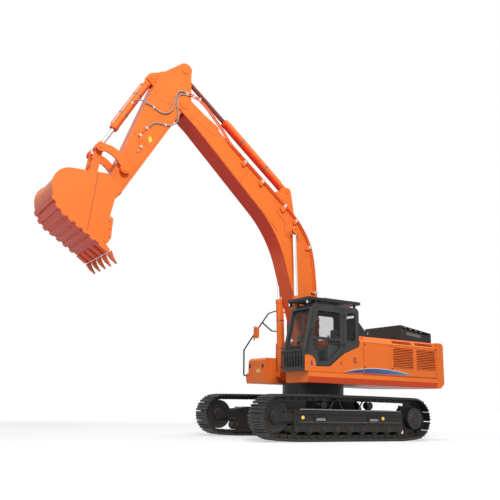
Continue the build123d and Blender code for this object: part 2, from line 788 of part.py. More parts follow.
# Rear end, front end, low and high edge of each grille, and its number of slats.
radiator_grilles = ((-3185, -2455, 1885, 2430, 12), (-2335, -1585, 1885, 2430, 12))
pump_grilles = ((-3080, -2420, 2050, 2430, 8),)
doors = {
    # side, front seam, rear seam, grilles
    "service_door_left": (1, panel_seams[2], panel_seams[3], ()),
    "radiator_door": (1, panel_seams[3], panel_seams[4], radiator_grilles),
    "pump_door": (-1, panel_seams[3], panel_seams[4], pump_grilles),
}
for name, (side, front, rear, grilles) in doors.items():
    with BuildPart() as door:
        block((rear + panel_gap / 2, front - panel_gap / 2),
              sorted((side * panel_side, side * (panel_side + panel))),
              (fit_z + panel_gap, chamfer_foot - panel_gap))
        for z in (fit_z + 180, chamfer_foot - 180):
            with BuildSketch(Plane.XY.offset(z - 40)):
                with Locations((rear + panel_gap / 2 + 12, side * (panel_side + panel + 6))):
                    Circle(12)
            extrude(amount=80)
        # Each grille is an opening crossed by slats that lean outwards and down.
        for grille_rear, grille_front, low, high, slat_count in grilles:
            block((grille_rear, grille_front),
                  sorted((side * (panel_side - 1), side * (panel_side + panel + 1))),
                  (low, high), Mode.SUBTRACT)
            slat_pitch = (high - low) / slat_count
            for i in range(slat_count):
                z = low + i * slat_pitch
                slat = [
                    (side * (panel_side + 3), z + slat_pitch - 4),
                    (side * (panel_side + 3), z + slat_pitch - 12),
                    (side * (panel_side + panel + 3), z + 6),
                    (side * (panel_side + panel + 9), z + 12),
                    (side * (panel_side + panel + 3), z + 22),
                ]
                long_bar(slat, grille_rear - 2, grille_front + 2)
    save(door, name)

with BuildPart() as hood:
    # Top, two sloped shoulders and the front wall, in one bent shell open below: y, z.
    shoulder = panel_side + panel
    hood_section = [
        (shoulder, chamfer_foot),
        (shoulder - hood_chamfer_width, hood_top),
        (-shoulder + hood_chamfer_width, hood_top),
        (-shoulder, chamfer_foot),
        (-shoulder + panel, chamfer_foot),
        (-shoulder + hood_chamfer_width + 14, hood_top - panel),
        (shoulder - hood_chamfer_width - 14, hood_top - panel),
        (shoulder - panel, chamfer_foot),
    ]
    with BuildSketch(Plane.YZ.offset(deck_rear)):
        with BuildLine():
            Polyline(*hood_section, close=True)
        make_face()
    extrude(amount=hood_front - deck_rear)
    # A short nose on the left reaches forward over the side panel.
    nose_section = [
        (shoulder, chamfer_foot), (shoulder - hood_chamfer_width, hood_top), (600, hood_top),
        (600, hood_top - panel), (shoulder - hood_chamfer_width - 14, hood_top - panel),
        (shoulder - panel, chamfer_foot),
    ]
    long_bar(nose_section, hood_front - 1, hood_nose)
    # Two vents in the left shoulder, over the grilles: openings with slats along them.
    slope_y, slope_z = -hood_chamfer_width, hood_chamfer_height
    slope = hypot(slope_y, slope_z)

    def on_slope(up, out):
        """The point some way up the shoulder and out of its face: y, z."""
        return (shoulder + (slope_y * up + slope_z * out) / slope,
                chamfer_foot + (slope_z * up - slope_y * out) / slope)

    vent_low, vent_high, vent_slats = 50, 165, 4
    for vent_rear, vent_front in ((-3185, -2460), (-2335, -1605)):
        opening = [on_slope(vent_low, 2), on_slope(vent_high, 2), on_slope(vent_high, -40),
                   on_slope(vent_low, -40)]
        long_bar(opening, vent_rear, vent_front, Mode.SUBTRACT)
        for i in range(vent_slats):
            up = vent_low + 4 + i * (vent_high - vent_low) / vent_slats
            slat = [on_slope(up, -2), on_slope(up + 7, -2), on_slope(up + 24, -19), on_slope(up + 17, -19)]
            long_bar(slat, vent_rear - 2, vent_front + 2)
    # The front wall comes down to the deck, and posts stand between the doors.
    block((hood_front - panel, hood_front), (-panel_side + 5, panel_side - 5), (fit_z, hood_top - panel))
    for x in (panel_seams[3], panel_seams[4] + 40):
        for y in both_sides(panel_side - 45):
            block((x - 30, x + 30), (y - 30, y + 30), (fit_z, chamfer_foot + 60))
    # The lid's opening.
    lid_front, lid_rear, lid_half = -900, -2150, 900
    block((lid_rear, lid_front), (-lid_half, lid_half), (hood_top - panel - 1, hood_top + 1), Mode.SUBTRACT)
save(hood, "hood")

with BuildPart() as engine_lid:
    block((lid_rear + panel_gap, lid_front - panel_gap), (-lid_half + panel_gap, lid_half - panel_gap),
          (hood_top - panel, hood_top))
    for y in both_sides(lid_half - 200):
        bar((lid_front - panel_gap - 12, hood_top + 6), 12, y - 50, y + 50)
save(engine_lid, "engine_lid")

with BuildPart() as raised_cover:
    cover_rear, cover_front = deck_rear - 220, -2250
    cover_low = hood_top + seat_gap
    cover_side = [(cover_rear, cover_low), (cover_front, cover_low), (cover_front, 3130), (cover_rear, 2970)]
    slab(cover_side, -400, 1100)
    slab(inset_outline(cover_side, 20), -380, 1080, Mode.SUBTRACT)
    block((cover_rear + 20, cover_front - 20), (-380, 1080), (cover_low - 1, cover_low + 21), Mode.SUBTRACT)
    # Its top is an open rack: windows along both sides, and slats that lean across it.
    rack_rear, rack_front, rack_cells = -3370, -2330, 5
    cover_slope = (3130 - 2970) / (cover_front - cover_rear)

    def cover_top(x):
        return 3130 + (x - cover_front) * cover_slope

    side_window = [
        (rack_rear, cover_top(rack_rear) - 95), (rack_front, cover_top(rack_front) - 95),
        (rack_front, cover_top(rack_front) - 24), (rack_rear, cover_top(rack_rear) - 24),
    ]
    slab(side_window, -401, 1101, Mode.SUBTRACT)
    block((rack_rear, rack_front), (-340, 1040), (2800, 3200), Mode.SUBTRACT)
    cell = (rack_front - rack_rear) / rack_cells
    for i in range(rack_cells):
        x = rack_rear + i * cell
        top = cover_top(x + cell) - 20
        slat = [(x + 8, top - 90), (x + 28, top - 90), (x + cell + 4, top), (x + cell - 16, top)]
        slab(slat, -396, 1096)
save(raised_cover, "raised_cover")

with BuildPart() as cab_back_cover:
    slab([(cab_rear - 10, hood_top + seat_gap), (cab_rear - 10, cab_roof - 230), (-870, hood_top + 40),
          (-870, hood_top + seat_gap)], cab_right + 60, cab_left - 140)
save(cab_back_cover, "cab_back_cover")

tank_outer = -panel_side - panel
with BuildPart() as fuel_tank:
    block((-490, 260), (tank_outer, -620), (fit_z, 2600))
    block((-470, 240), (tank_outer + 20, -640), (fit_z + 20, 2580), Mode.SUBTRACT)
save(fuel_tank, "fuel_tank")

with BuildPart() as hydraulic_tank:
    block((panel_seams[3] + 40, hood_front - panel - 10), (tank_outer, -650),
          (fit_z, chamfer_foot - panel_gap))
    block((panel_seams[3] + 60, hood_front - panel - 30), (tank_outer + 20, -670),
          (fit_z + 20, chamfer_foot - 30), Mode.SUBTRACT)
save(hydraulic_tank, "hydraulic_tank")

box_lid_z = 1960
box_rear, box_front = 300, 1200
with BuildPart() as tool_box:
    block((box_rear, box_front), (tank_outer + 30, -600), (fit_z, box_lid_z))
    block((box_rear + 20, box_front - 20), (tank_outer + 50, -620), (fit_z + 20, box_lid_z + 1),
          Mode.SUBTRACT)
save(tool_box, "tool_box")

with BuildPart() as tool_box_lid:
    lid_top = 2095
    lid_outline = [
        (box_rear, box_lid_z + 2), (box_front, box_lid_z + 2), (box_front - 10, lid_top - 55),
        (box_front - 70, lid_top), (box_rear, lid_top),
    ]
    lid_hollow = [
        (box_rear + 20, box_lid_z + 1), (box_front - 20, box_lid_z + 1), (box_front - 30, lid_top - 65),
        (box_front - 80, lid_top - 20), (box_rear + 20, lid_top - 20),
    ]
    slab(lid_outline, tank_outer + 30, -600)
    slab(lid_hollow, tank_outer + 50, -620, Mode.SUBTRACT)
    for y in (-1250, -800):
        bar((box_rear + 12, lid_top + 6), 12, y - 50, y + 50)
save(tool_box_lid, "tool_box_lid")

rail_y = -deck_half_width + 45
rail_width = 32
# The handrail's route on the right side, and its branch: x, z.
rail_route = [
    (deck_front, 1620), (1350, 1620), (1365, 2330), (1160, 2630), (770, 3170), (560, 3450),
    (340, 3540), (-60, 3540), (-130, 3400), (-130, 2600),
]
rail_branch = [(770, 3170), (440, 2950), (230, 2950), (180, 2850), (180, 2600)]
with BuildPart() as handrail:
    for route in (rail_route, rail_branch):
        with BuildSketch(side_plane(rail_y)) as rail_face:
            with BuildLine():
                FilletPolyline(*route, radius=45)
            trace(line_width=rail_width)
        extrude(amount=rail_width / 2, both=True)
save(handrail, "handrail")

with BuildPart() as mirror:
    mirror_side = rail_y + rail_width / 2
    block((1000, 1070), (mirror_side, mirror_side + 200), (2690, 3000))
save(mirror, "mirror")

# ======== boom ========

# The boom's lower and upper edges, each with one rounded bend: x, z.
lower_edge = [(395, 2200), (1435, 5440), (4120, 7900)]
upper_edge = [(-35, 2290), (270, 5530), (3900, 8310)]
lower_bend = 3200
upper_bend = 2050
foot_boss = 230
foot_neck = 490
nose_boss = 220
nose_solid = 650
foot_half = foot_bracket_inner - side_gap
eye_half = 60
lug_wall = 42


def boom_face(inset):
    """The boom's side view, moved inwards, without circles round its foot and its nose."""
    with BuildSketch(side_plane(0)) as face:
        with BuildLine():
            low = FilletPolyline(*lower_edge, radius=lower_bend)
            high = FilletPolyline(*upper_edge, radius=upper_bend)
            Line(low @ 0, high @ 0)
            Line(low @ 1, high @ 1)
        make_face()
        if inset:
            offset(amount=-inset, kind=Kind.INTERSECTION, mode=Mode.REPLACE)
            for centre, radius in ((boom_foot, foot_neck + boom_plate), (arm_pivot, nose_solid)):
                with Locations(centre):
                    Circle(radius, mode=Mode.SUBTRACT)
    return face.sketch


with BuildPart() as boom:
    extrude(boom_face(0), amount=boom_half_width, both=True)
    with BuildSketch(side_plane(0)) as nose:
        with BuildLine():
            CenterArc(arm_pivot, nose_boss, 0, 360)
            Line(lower_edge[-1], upper_edge[-1])
        make_hull()
    extrude(nose.sketch, amount=boom_half_width, both=True)
    strap(boom_foot, foot_boss, (260, 2620), 240, -foot_half, foot_half)
    # Hollow from beyond the foot to the nose.
    extrude(boom_face(boom_plate), amount=boom_half_width - boom_plate, both=True, mode=Mode.SUBTRACT)
    # The foot narrows to fit between its brackets, and the nose is a fork round the arm.
    for y in both_sides(1):
        cheek = sorted((y * foot_half, y * (boom_half_width + 1)))
        bar(boom_foot, foot_neck, *cheek, Mode.SUBTRACT)
    bar(boom_foot, boom_pin + running_fit, -foot_half - 1, foot_half + 1, Mode.SUBTRACT)
    fork_inner = arm_half_width + side_gap
    bar(arm_pivot, 300, -fork_inner, fork_inner, Mode.SUBTRACT)
    # The arm's rear edge swings down into this notch.
    notch = [(3770, 8500), (3770, 8245), (arm_pivot[0], 8155), (arm_pivot[0], 8700), (4100, 8700)]
    slab(notch, -fork_inner, fork_inner, Mode.SUBTRACT)
    bar(arm_pivot, boom_pin, -boom_half_width - 30, boom_half_width + 30)
    for y in both_sides(boom_half_width + 10):
        bar(arm_pivot, boom_pin + 70, y - 10, y + 10)
    # Bosses for the boom cylinders, and a lug for the arm cylinder.
    for y in both_sides(boom_half_width + 20):
        bar(boom_cylinder_eye, 130, y - 21, y + 20)
    with BuildSketch(side_plane(0)) as lug:
        with BuildLine():
            CenterArc(arm_cylinder_base, 125, 0, 360)
            Line((720, 5830), (1620, 6520))
        make_hull()
    extrude(lug.sketch, amount=eye_half + side_gap + lug_wall, both=True)
    gap_half = eye_half + side_gap
    with BuildSketch(side_plane(0)) as lug_gap:
        with Locations(arm_cylinder_base):
            Circle(190)
        with BuildLine():
            Polyline(along(arm_cylinder_base, arm_cylinder_eye, 600), (1200, 6540), (830, 6560),
                     (900, 6990), close=True)
        make_face()
    extrude(lug_gap.sketch, amount=gap_half, both=True, mode=Mode.SUBTRACT)
    bar(arm_cylinder_base, boom_pin - 10, -gap_half - lug_wall - 20, gap_half + lug_wall + 20)
save(boom, "boom")

# ======== arm ========

arm_outline = [
    (4380, 8320), (5925, 5690), (6290, 5810), (5140, 9060), (4560, 9520), (4250, 9400), (4205, 8450),
]
tail_slot = [(4000, 8950), (4500, 8950), (4840, 9150), (4840, 9800), (4000, 9800)]
tail_wall = 40
tip_boss = 195
rocker_side = 350
rocker_wall = 50
with BuildPart() as arm:
    slab(arm_outline, -arm_half_width, arm_half_width)
    bar(arm_pivot, nose_boss, -arm_half_width, arm_half_width)
    bar(arm_cylinder_eye, 190, -arm_half_width, arm_half_width)
    bar(bucket_pivot, tip_boss, -arm_half_width, arm_half_width)
    with BuildSketch(side_plane(0)) as hollow:
        with BuildLine():
            Polyline(*inset_outline(arm_outline, arm_plate), close=True)
        make_face()
        with Locations(arm_pivot):
            Circle(150, mode=Mode.SUBTRACT)
        with Locations(bucket_pivot):
            Circle(tip_boss + 60, mode=Mode.SUBTRACT)
        with BuildLine():
            Polyline((4000, 8910), (4520, 8910), (4880, 9120), (4880, 9800), (4000, 9800), close=True)
        make_face(mode=Mode.SUBTRACT)
    extrude(hollow.sketch, amount=arm_half_width - arm_plate, both=True, mode=Mode.SUBTRACT)
    slab(tail_slot, -arm_half_width + tail_wall, arm_half_width - tail_wall, Mode.SUBTRACT)
    for y in both_sides(1):
        boss = sorted((y * (eye_half + side_gap + 2), y * (arm_half_width + 25)))
        bar(arm_cylinder_eye, 105, *boss)
    # The lug of the bucket cylinder, on the front of the arm's head.
    with BuildSketch(side_plane(0)) as lug:
        with BuildLine():
            CenterArc(bucket_cylinder_base, 125, 0, 360)
            Line((4900, 9262), (5245, 8760))
        make_hull()
    for y in both_sides(gap_half + lug_wall / 2):
        extrude(Pos(0, y, 0) * lug.sketch, amount=lug_wall / 2, both=True)
    lug_half = gap_half + lug_wall
    slab([(4900, 9262), (5140, 9060), (5245, 8760), (5160, 9060), (5040, 9230)], -lug_half, lug_half)
    bar(bucket_cylinder_base, bucket_cylinder_eye_radius + 25, -gap_half, gap_half, Mode.SUBTRACT)
    bar(bucket_cylinder_base, linkage_pin, -lug_half - 20, lug_half + 20)
    # Bosses and pins for the rocker plates.
    for y in both_sides(1):
        boss = sorted((y * (arm_half_width - 1), y * (rocker_side - side_gap)))
        bar(rocker_pivot, 110, *boss)
        cap_low = rocker_side + rocker_wall + side_gap
        bar(rocker_pivot, linkage_pin, *sorted((y * arm_half_width, y * (cap_low + 15))))
        bar(rocker_pivot, 75, *sorted((y * cap_low, y * (cap_low + 15))))
    bar(arm_pivot, boom_pin + running_fit, -arm_half_width - 1, arm_half_width + 1, Mode.SUBTRACT)
    bar(bucket_pivot, boom_pin + running_fit, -arm_half_width - 1, arm_half_width + 1, Mode.SUBTRACT)
save(arm, "arm")

# ======== bucket and its linkage ========

link_outer = arm_half_width
link_inner = 122
rocker_half_height = 100
rocker_rise = 126
with BuildPart() as rocker:
    mid = ((rocker_pivot[0] + link_pivot[0]) / 2, (rocker_pivot[1] + link_pivot[1]) / 2)
    span = hypot(link_pivot[0] - rocker_pivot[0], link_pivot[1] - rocker_pivot[1])
    up = (-(link_pivot[1] - rocker_pivot[1]) / span, (link_pivot[0] - rocker_pivot[0]) / span)

    def raised(point, height):
        return (point[0] + up[0] * height, point[1] + up[1] * height)

    with BuildSketch(side_plane(0)) as plate_face:
        with BuildLine():
            high = rocker_half_height
            outer_arc = ThreePointArc(raised(rocker_pivot, high), raised(mid, rocker_rise + high),
                                      raised(link_pivot, high))
            inner_arc = ThreePointArc(raised(rocker_pivot, -high), raised(mid, rocker_rise - high),
                                      raised(link_pivot, -high))
            Line(outer_arc @ 0, inner_arc @ 0)
            Line(outer_arc @ 1, inner_arc @ 1)
        make_face()
        for pivot in (rocker_pivot, link_pivot):
            with Locations(pivot):
                Circle(rocker_half_height + 20)
    for y in both_sides(rocker_side + rocker_wall / 2):
        extrude(Pos(0, y, 0) * plate_face.sketch, amount=rocker_wall / 2, both=True)
    for y in both_sides(1):
        bar(link_pivot, 85, *sorted((y * (link_outer + side_gap), y * (rocker_side + 1))))
        bar(link_pivot, linkage_pin, *sorted((y * (link_inner + 2), y * (rocker_side + rocker_wall + 20))))
    rocker_outer = rocker_side + rocker_wall
    bar(rocker_pivot, linkage_pin + running_fit, -rocker_outer - 1, rocker_outer + 1, Mode.SUBTRACT)
save(rocker, "rocker")

with BuildPart() as bucket_link:
    for y in both_sides(1):
        leg = sorted((y * (link_outer - 80), y * link_outer))
        strap(link_pivot, 90, ear_pin, 90, *leg)
        boss = sorted((y * link_inner, y * link_outer))
        bar(link_pivot, 120, *boss)
        bar(ear_pin, 110, *boss)
    web_start, web_end = along(link_pivot, ear_pin, 430), along(link_pivot, ear_pin, 640)
    web = [
        (web_start[0] - 60, web_start[1]),
        (web_end[0] - 60, web_end[1]),
        (web_end[0] + 60, web_end[1]),
        (web_start[0] + 60, web_start[1]),
    ]
    slab(web, -link_outer + 1, link_outer - 1)
    bar(ear_pin, linkage_pin, -link_outer, link_outer)
    bar(link_pivot, linkage_pin + running_fit, -link_outer - 1, link_outer + 1, Mode.SUBTRACT)
    # A lifting eye on the left leg's outer edge.
    eye_low = along(link_pivot, ear_pin, 230)
    lifting_eye = (eye_low[0] + 140, eye_low[1])
    strap(lifting_eye, 55, eye_low, 85, link_outer - 55, link_outer - 25)
    bar(lifting_eye, 30, link_outer - 60, link_outer - 20, Mode.SUBTRACT)
save(bucket_link, "bucket_link")

lip_point = (6420, 4160)
heel_point = (7200, 4680)


def shell_face(inset):
    """The bucket's curved shell in the side view: its outer outline, moved inwards."""
    with BuildSketch(side_plane(0)) as face:
        with BuildLine():
            Line(lip_point, heel_point)
            ThreePointArc(heel_point, (7560, 4995), (7690, 5380))
            ThreePointArc((7690, 5380), (7600, 5650), (7370, 5790))
            Line((7370, 5790), (6700, 5590))
            Line((6700, 5590), (6185, 5430))
            Line((6185, 5430), lip_point)
        make_face()
        if inset:
            offset(amount=-inset, kind=Kind.INTERSECTION, mode=Mode.REPLACE)
            with BuildLine():
                Polyline((6300, 5400), (6460, 4270), (6200, 4000), (5900, 5350), close=True)
            make_face()
    return face.sketch


with BuildPart() as bucket:
    inner_half = bucket_half_width - bucket_plate
    extrude(shell_face(0), amount=inner_half, both=True)
    extrude(shell_face(bucket_plate), amount=inner_half + 1, both=True, mode=Mode.SUBTRACT)
    with BuildSketch(side_plane(0)) as side_face:
        with BuildLine():
            Line(lip_point, heel_point)
            ThreePointArc(heel_point, (7560, 4995), (7690, 5380))
            ThreePointArc((7690, 5380), (7590, 5720), (7300, 5860))
            Polyline((7300, 5860), (6490, 5900), (6080, 5600), (6250, 5340), (6330, 4950), (6375, 4280),
                     lip_point)
        make_face()
    for y in both_sides(bucket_half_width - bucket_plate / 2):
        extrude(Pos(0, y, 0) * side_face.sketch, amount=bucket_plate / 2, both=True)
    # The lip, and the ears with the pins.
    lip_x, lip_z = lip_point
    lip_plate = [(lip_x - 120, lip_z - 80), (lip_x + 220, lip_z + 147), (lip_x + 190, lip_z + 190),
                 (lip_x - 150, lip_z - 35)]
    slab(lip_plate, -bucket_half_width, bucket_half_width)
    ear_low, ear_high = arm_half_width + side_gap, arm_half_width + side_gap + 66
    for y in both_sides(1):
        ear = sorted((y * ear_low, y * ear_high))
        with BuildSketch(side_plane(sum(ear) / 2)) as ear_face:
            with BuildLine():
                CenterArc(bucket_pivot, 165, 0, 360)
                CenterArc(ear_pin, 125, 0, 360)
                Line((6200, 5415), (7250, 5735))
            make_hull()
        extrude(ear_face.sketch, amount=(ear_high - ear_low) / 2, both=True)
        bar(ear_pin, 70, *sorted((y * ear_high, y * (ear_high + 8))))
    extrude(shell_face(bucket_plate), amount=inner_half - 1, both=True, mode=Mode.SUBTRACT)
    bar(bucket_pivot, boom_pin, -ear_high - 12, ear_high + 12)
    # Wear bars across the back, at even steps from the lip over the heel.
    with BuildLine(side_plane(0)) as back_line:
        Line(lip_point, heel_point)
        ThreePointArc(heel_point, (7560, 4995), (7690, 5380))
    back = back_line.wires()[0]
    for i in range(wear_bar_count):
        way = wear_bar_start + i * wear_bar_pitch
        centre = back.position_at(way, position_mode=PositionMode.LENGTH)
        run = back.tangent_at(way, position_mode=PositionMode.LENGTH)
        wear_bar = []
        for at, out in ((-wear_bar_half, -15), (wear_bar_half, -15), (wear_bar_half - 12, wear_bar_height),
                        (-wear_bar_half + 12, wear_bar_height)):
            wear_bar.append((centre.X + run.X * at + run.Z * out, centre.Z + run.Z * at - run.X * out))
        slab(wear_bar, -bucket_half_width, bucket_half_width)
    # Cutters on the front edges of both sides, and a nose for each tooth on the lip.
    cutter = [(6318, 4900), (6262, 4850), (6282, 4400), (6350, 4262), (6440, 4300), (6420, 4600)]
    for y in both_sides(bucket_half_width + 9):
        slab(cutter, y - 10, y + 10)
    nose_outline = [(lip_x + 60, lip_z + 140), (lip_x - 40, lip_z + 90), (lip_x - 140, lip_z - 35),
                    (lip_x - 75, lip_z - 95), (lip_x + 150, lip_z + 60)]
    for i in range(tooth_count):
        y = (i - (tooth_count - 1) / 2) * tooth_pitch
        y = max(-bucket_half_width + 76, min(bucket_half_width - 76, y))
        slab(nose_outline, y - 75, y + 75)
save(bucket, "bucket")

with BuildPart() as bucket_teeth:
    tooth_root, tooth_tip = (6290, 4095), (6085, 3840)
    tooth_direction = (tooth_tip[0] - tooth_root[0], 0, tooth_tip[1] - tooth_root[1])
    tooth_length = hypot(tooth_direction[0], tooth_direction[2])
    for i in range(tooth_count):
        y = (i - (tooth_count - 1) / 2) * tooth_pitch
        root_place = (tooth_root[0], y, tooth_root[1])
        root_plane = Plane(origin=root_place, x_dir=(0, 1, 0), z_dir=tooth_direction)
        # Three sections from root to tip: distance, width, depth and bulge towards the bucket's back.
        sections = []
        for distance, width, depth, bulge in ((14, 124, 104, 0), (tooth_length * 0.5, 104, 66, 20),
                                              (tooth_length, 62, 14, 0)):
            with BuildSketch(root_plane.offset(distance)) as section:
                with Locations((0, bulge)):
                    Rectangle(width, depth)
            sections.append(section.sketch)
        loft(sections=sections, ruled=True)
save(bucket_teeth, "bucket_teeth")

# ======== cylinders ========


def cylinder_tube(base, eye, y, radius, rod_radius, neck, length, half, pin, eye_radius):
    """A barrel with its base eye; the rod slides through its gland."""
    frame = cylinder_plane(base, eye, y)
    with BuildSketch(frame) as barrel:
        Circle(radius)
    extrude(barrel.sketch, amount=length)
    with BuildSketch(frame.offset(length - 90)) as collar:
        Circle(radius + collar_step)
    extrude(collar.sketch, amount=60)
    # Between its lugs the barrel narrows to the eye's width.
    for side in both_sides(1):
        cut = sorted((y + side * half, y + side * (radius + 40)))
        bar(base, neck, *cut, Mode.SUBTRACT)
    bar(base, eye_radius, y - half, y + half)
    with BuildSketch(frame.offset(neck + 15)) as bore:
        Circle(radius - barrel_wall)
    extrude(bore.sketch, amount=length - gland_length - neck - 15, mode=Mode.SUBTRACT)
    with BuildSketch(frame.offset(length - gland_length - 1)) as gland:
        Circle(rod_radius + running_fit)
    extrude(gland.sketch, amount=gland_length + 2, mode=Mode.SUBTRACT)
    bar(base, pin + running_fit, y - half - 1, y + half + 1, Mode.SUBTRACT)


def cylinder_rod(base, eye, y, radius, rod_radius, length, half):
    """A rod with its piston inside the barrel and an eye at its far end."""
    reach = hypot(eye[0] - base[0], eye[1] - base[1])
    frame = cylinder_plane(base, eye, y)
    with BuildSketch(frame.offset(reach - length)) as rod:
        Circle(rod_radius)
    extrude(rod.sketch, amount=length)
    with BuildSketch(frame.offset(reach - length)) as piston:
        Circle(radius - barrel_wall - 0.5)
    extrude(piston.sketch, amount=70)
    bar(eye, rod_eye_radius, y - half, y + half)


cylinders = {
    # base, eye, side, barrel radius, rod radius, neck, barrel length, rod length, half, pin, base eye
    "boom_cylinder": (
        boom_cylinder_base, boom_cylinder_eye, boom_cylinder_side,
        95, 57, 245, 2090, 2300, 50, boom_pin - 5, 110,
    ),
    "arm_cylinder": (
        arm_cylinder_base, arm_cylinder_eye, 0,
        112, 62, 262, 2640, 2740, eye_half, boom_pin - 10, 125,
    ),
    "bucket_cylinder": (
        bucket_cylinder_base, link_pivot, 0,
        98, 55, 208, 1850, 1940, eye_half, linkage_pin, bucket_cylinder_eye_radius,
    ),
}
for name, row in cylinders.items():
    base, eye, side, radius, rod_radius, neck, length, rod_length, half, pin, eye_radius = row
    sides = both_sides(side) if side else (0,)
    with BuildPart() as tube:
        for y in sides:
            cylinder_tube(base, eye, y, radius, rod_radius, neck, length, half, pin, eye_radius)
    save(tube, f"{name}_tube")
    with BuildPart() as rod:
        for y in sides:
            cylinder_rod(base, eye, y, radius, rod_radius, rod_length, half)
    save(rod, f"{name}_rod")
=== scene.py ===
from math import acos, atan2, cos, hypot, pi, radians, sin, sqrt

import bmesh
import bpy
from mathutils import Matrix, Vector


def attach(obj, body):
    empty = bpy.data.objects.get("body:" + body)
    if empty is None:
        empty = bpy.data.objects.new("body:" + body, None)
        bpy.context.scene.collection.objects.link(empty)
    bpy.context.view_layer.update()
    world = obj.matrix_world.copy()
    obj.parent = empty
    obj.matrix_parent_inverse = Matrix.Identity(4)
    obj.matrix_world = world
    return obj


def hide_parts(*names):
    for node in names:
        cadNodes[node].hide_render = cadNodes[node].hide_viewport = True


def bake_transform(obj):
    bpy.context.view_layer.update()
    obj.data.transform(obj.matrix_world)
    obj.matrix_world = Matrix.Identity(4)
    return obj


# Metres: +X to the front, +Y to the left and +Z up, from the ground under the swing axis.
# A side-view point is (x, z). A sign is +1 on the left and -1 on the right.

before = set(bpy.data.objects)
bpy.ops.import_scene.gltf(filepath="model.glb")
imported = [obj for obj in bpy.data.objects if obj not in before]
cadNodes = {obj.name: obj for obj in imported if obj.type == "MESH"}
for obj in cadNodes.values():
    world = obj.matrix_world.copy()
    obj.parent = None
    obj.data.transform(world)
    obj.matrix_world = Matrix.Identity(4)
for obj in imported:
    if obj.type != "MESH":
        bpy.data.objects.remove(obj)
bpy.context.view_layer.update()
sides = (("left", 1), ("right", -1))
print("frame loaded:", len(cadNodes), "nodes")

camera = {
    "place": (10.8966, 14.5146, 0.8540),
    "heading": 4.168896,    # radians about Z, from +X
    "pitch": 0.233079,
    "roll": 0.026727,
    "lens": 46.54,
    "reach": 500,
}


def addToScene(name, data):
    obj = bpy.data.objects.new(name, data)
    bpy.context.scene.collection.objects.link(obj)
    return obj


def makeCamera():
    heading, pitch, roll = camera["heading"], camera["pitch"], camera["roll"]
    forward = Vector((cos(heading) * cos(pitch), sin(heading) * cos(pitch), sin(pitch)))
    level = Vector((sin(heading), -cos(heading), 0))
    rise = level.cross(forward)
    right = cos(roll) * level + sin(roll) * rise
    up = -sin(roll) * level + cos(roll) * rise
    data = bpy.data.cameras.new("camera")
    data.lens = camera["lens"]
    data.clip_end = camera["reach"]
    obj = addToScene("camera", data)
    turn = Matrix((right, up, -forward)).transposed()
    obj.matrix_world = Matrix.Translation(camera["place"]) @ turn.to_4x4()
    bpy.context.scene.camera = obj


makeCamera()
bpy.context.scene.view_settings.view_transform = "Standard"


# a socket takes a value of its own or follows another socket
def feed(tree, socket, value):
    if isinstance(value, (int, float, tuple)):
        socket.default_value = value
    else:
        tree.links.new(value, socket)


def add(tree, kind, **values):
    node = tree.nodes.new("ShaderNode" + kind)
    for key, value in values.items():
        setattr(node, key, value)
    return node


def math(tree, operation, first, second, clamp=False):
    node = add(tree, "Math", operation=operation, use_clamp=clamp)
    feed(tree, node.inputs[0], first)
    feed(tree, node.inputs[1], second)
    return node.outputs[0]


# limits: from low, from high, to low, to high
def remap(tree, value, limits, kind="LINEAR"):
    node = add(tree, "MapRange", interpolation_type=kind)
    for socket, limit in zip(node.inputs, (value,) + limits):
        feed(tree, socket, limit)
    return node.outputs[0]


def onePart(tree, vector, axis):
    node = add(tree, "SeparateXYZ")
    tree.links.new(vector, node.inputs[0])
    return node.outputs[axis]


def newMaterial(name, values):
    material = bpy.data.materials.new(name)
    material.use_nodes = True
    tree = material.node_tree
    shader = tree.nodes["Principled BSDF"]
    for key, value in values.items():
        feed(tree, shader.inputs[key], value)
    return material, tree, shader


studio = {
    "worldLevel": 0.36,
    "floorColour": (0.42, 0.42, 0.43, 1),
    "floorGlow": (0.50, 1.00),    # near the object and far from it
    "floorReach": (7.0, 22.0),    # metres from the swing axis
    "floorHalf": 160, "floorLevel": -0.002,
    # name: (place, aimed at, width, watts)
    "lamps": {
        "keyLamp": ((9, 17, 15), (1, 0, 4), 6, 3600),
        "fillLamp": ((20, 6, 6), (1, 0, 3), 10, 420),
        "topLamp": ((-3, 2, 22), (0, 0, 2), 10, 1900),
        "backLamp": ((-16, -9, 10), (0, 0, 3), 8, 600),
    },
}


# camera, glossy and transmission rays all meet the white studio
def seenDirectly(tree):
    path = add(tree, "LightPath")
    total = path.outputs["Is Camera Ray"]
    for ray in ("Is Glossy Ray", "Is Transmission Ray"):
        total = math(tree, "MAXIMUM", total, path.outputs[ray])
    return total


def makeWorld():
    world = bpy.data.worlds.new("studioWorld")
    bpy.context.scene.world = world
    world.use_nodes = True
    tree = world.node_tree
    tree.nodes.clear()
    mix = add(tree, "MixShader")
    tree.links.new(seenDirectly(tree), mix.inputs[0])
    for socket, strength in ((1, studio["worldLevel"]), (2, 1.0)):
        light = add(tree, "Background")
        light.inputs["Color"].default_value = (1, 1, 1, 1)
        light.inputs["Strength"].default_value = strength
        tree.links.new(light.outputs[0], mix.inputs[socket])
    tree.links.new(mix.outputs[0], add(tree, "OutputWorld").inputs[0])


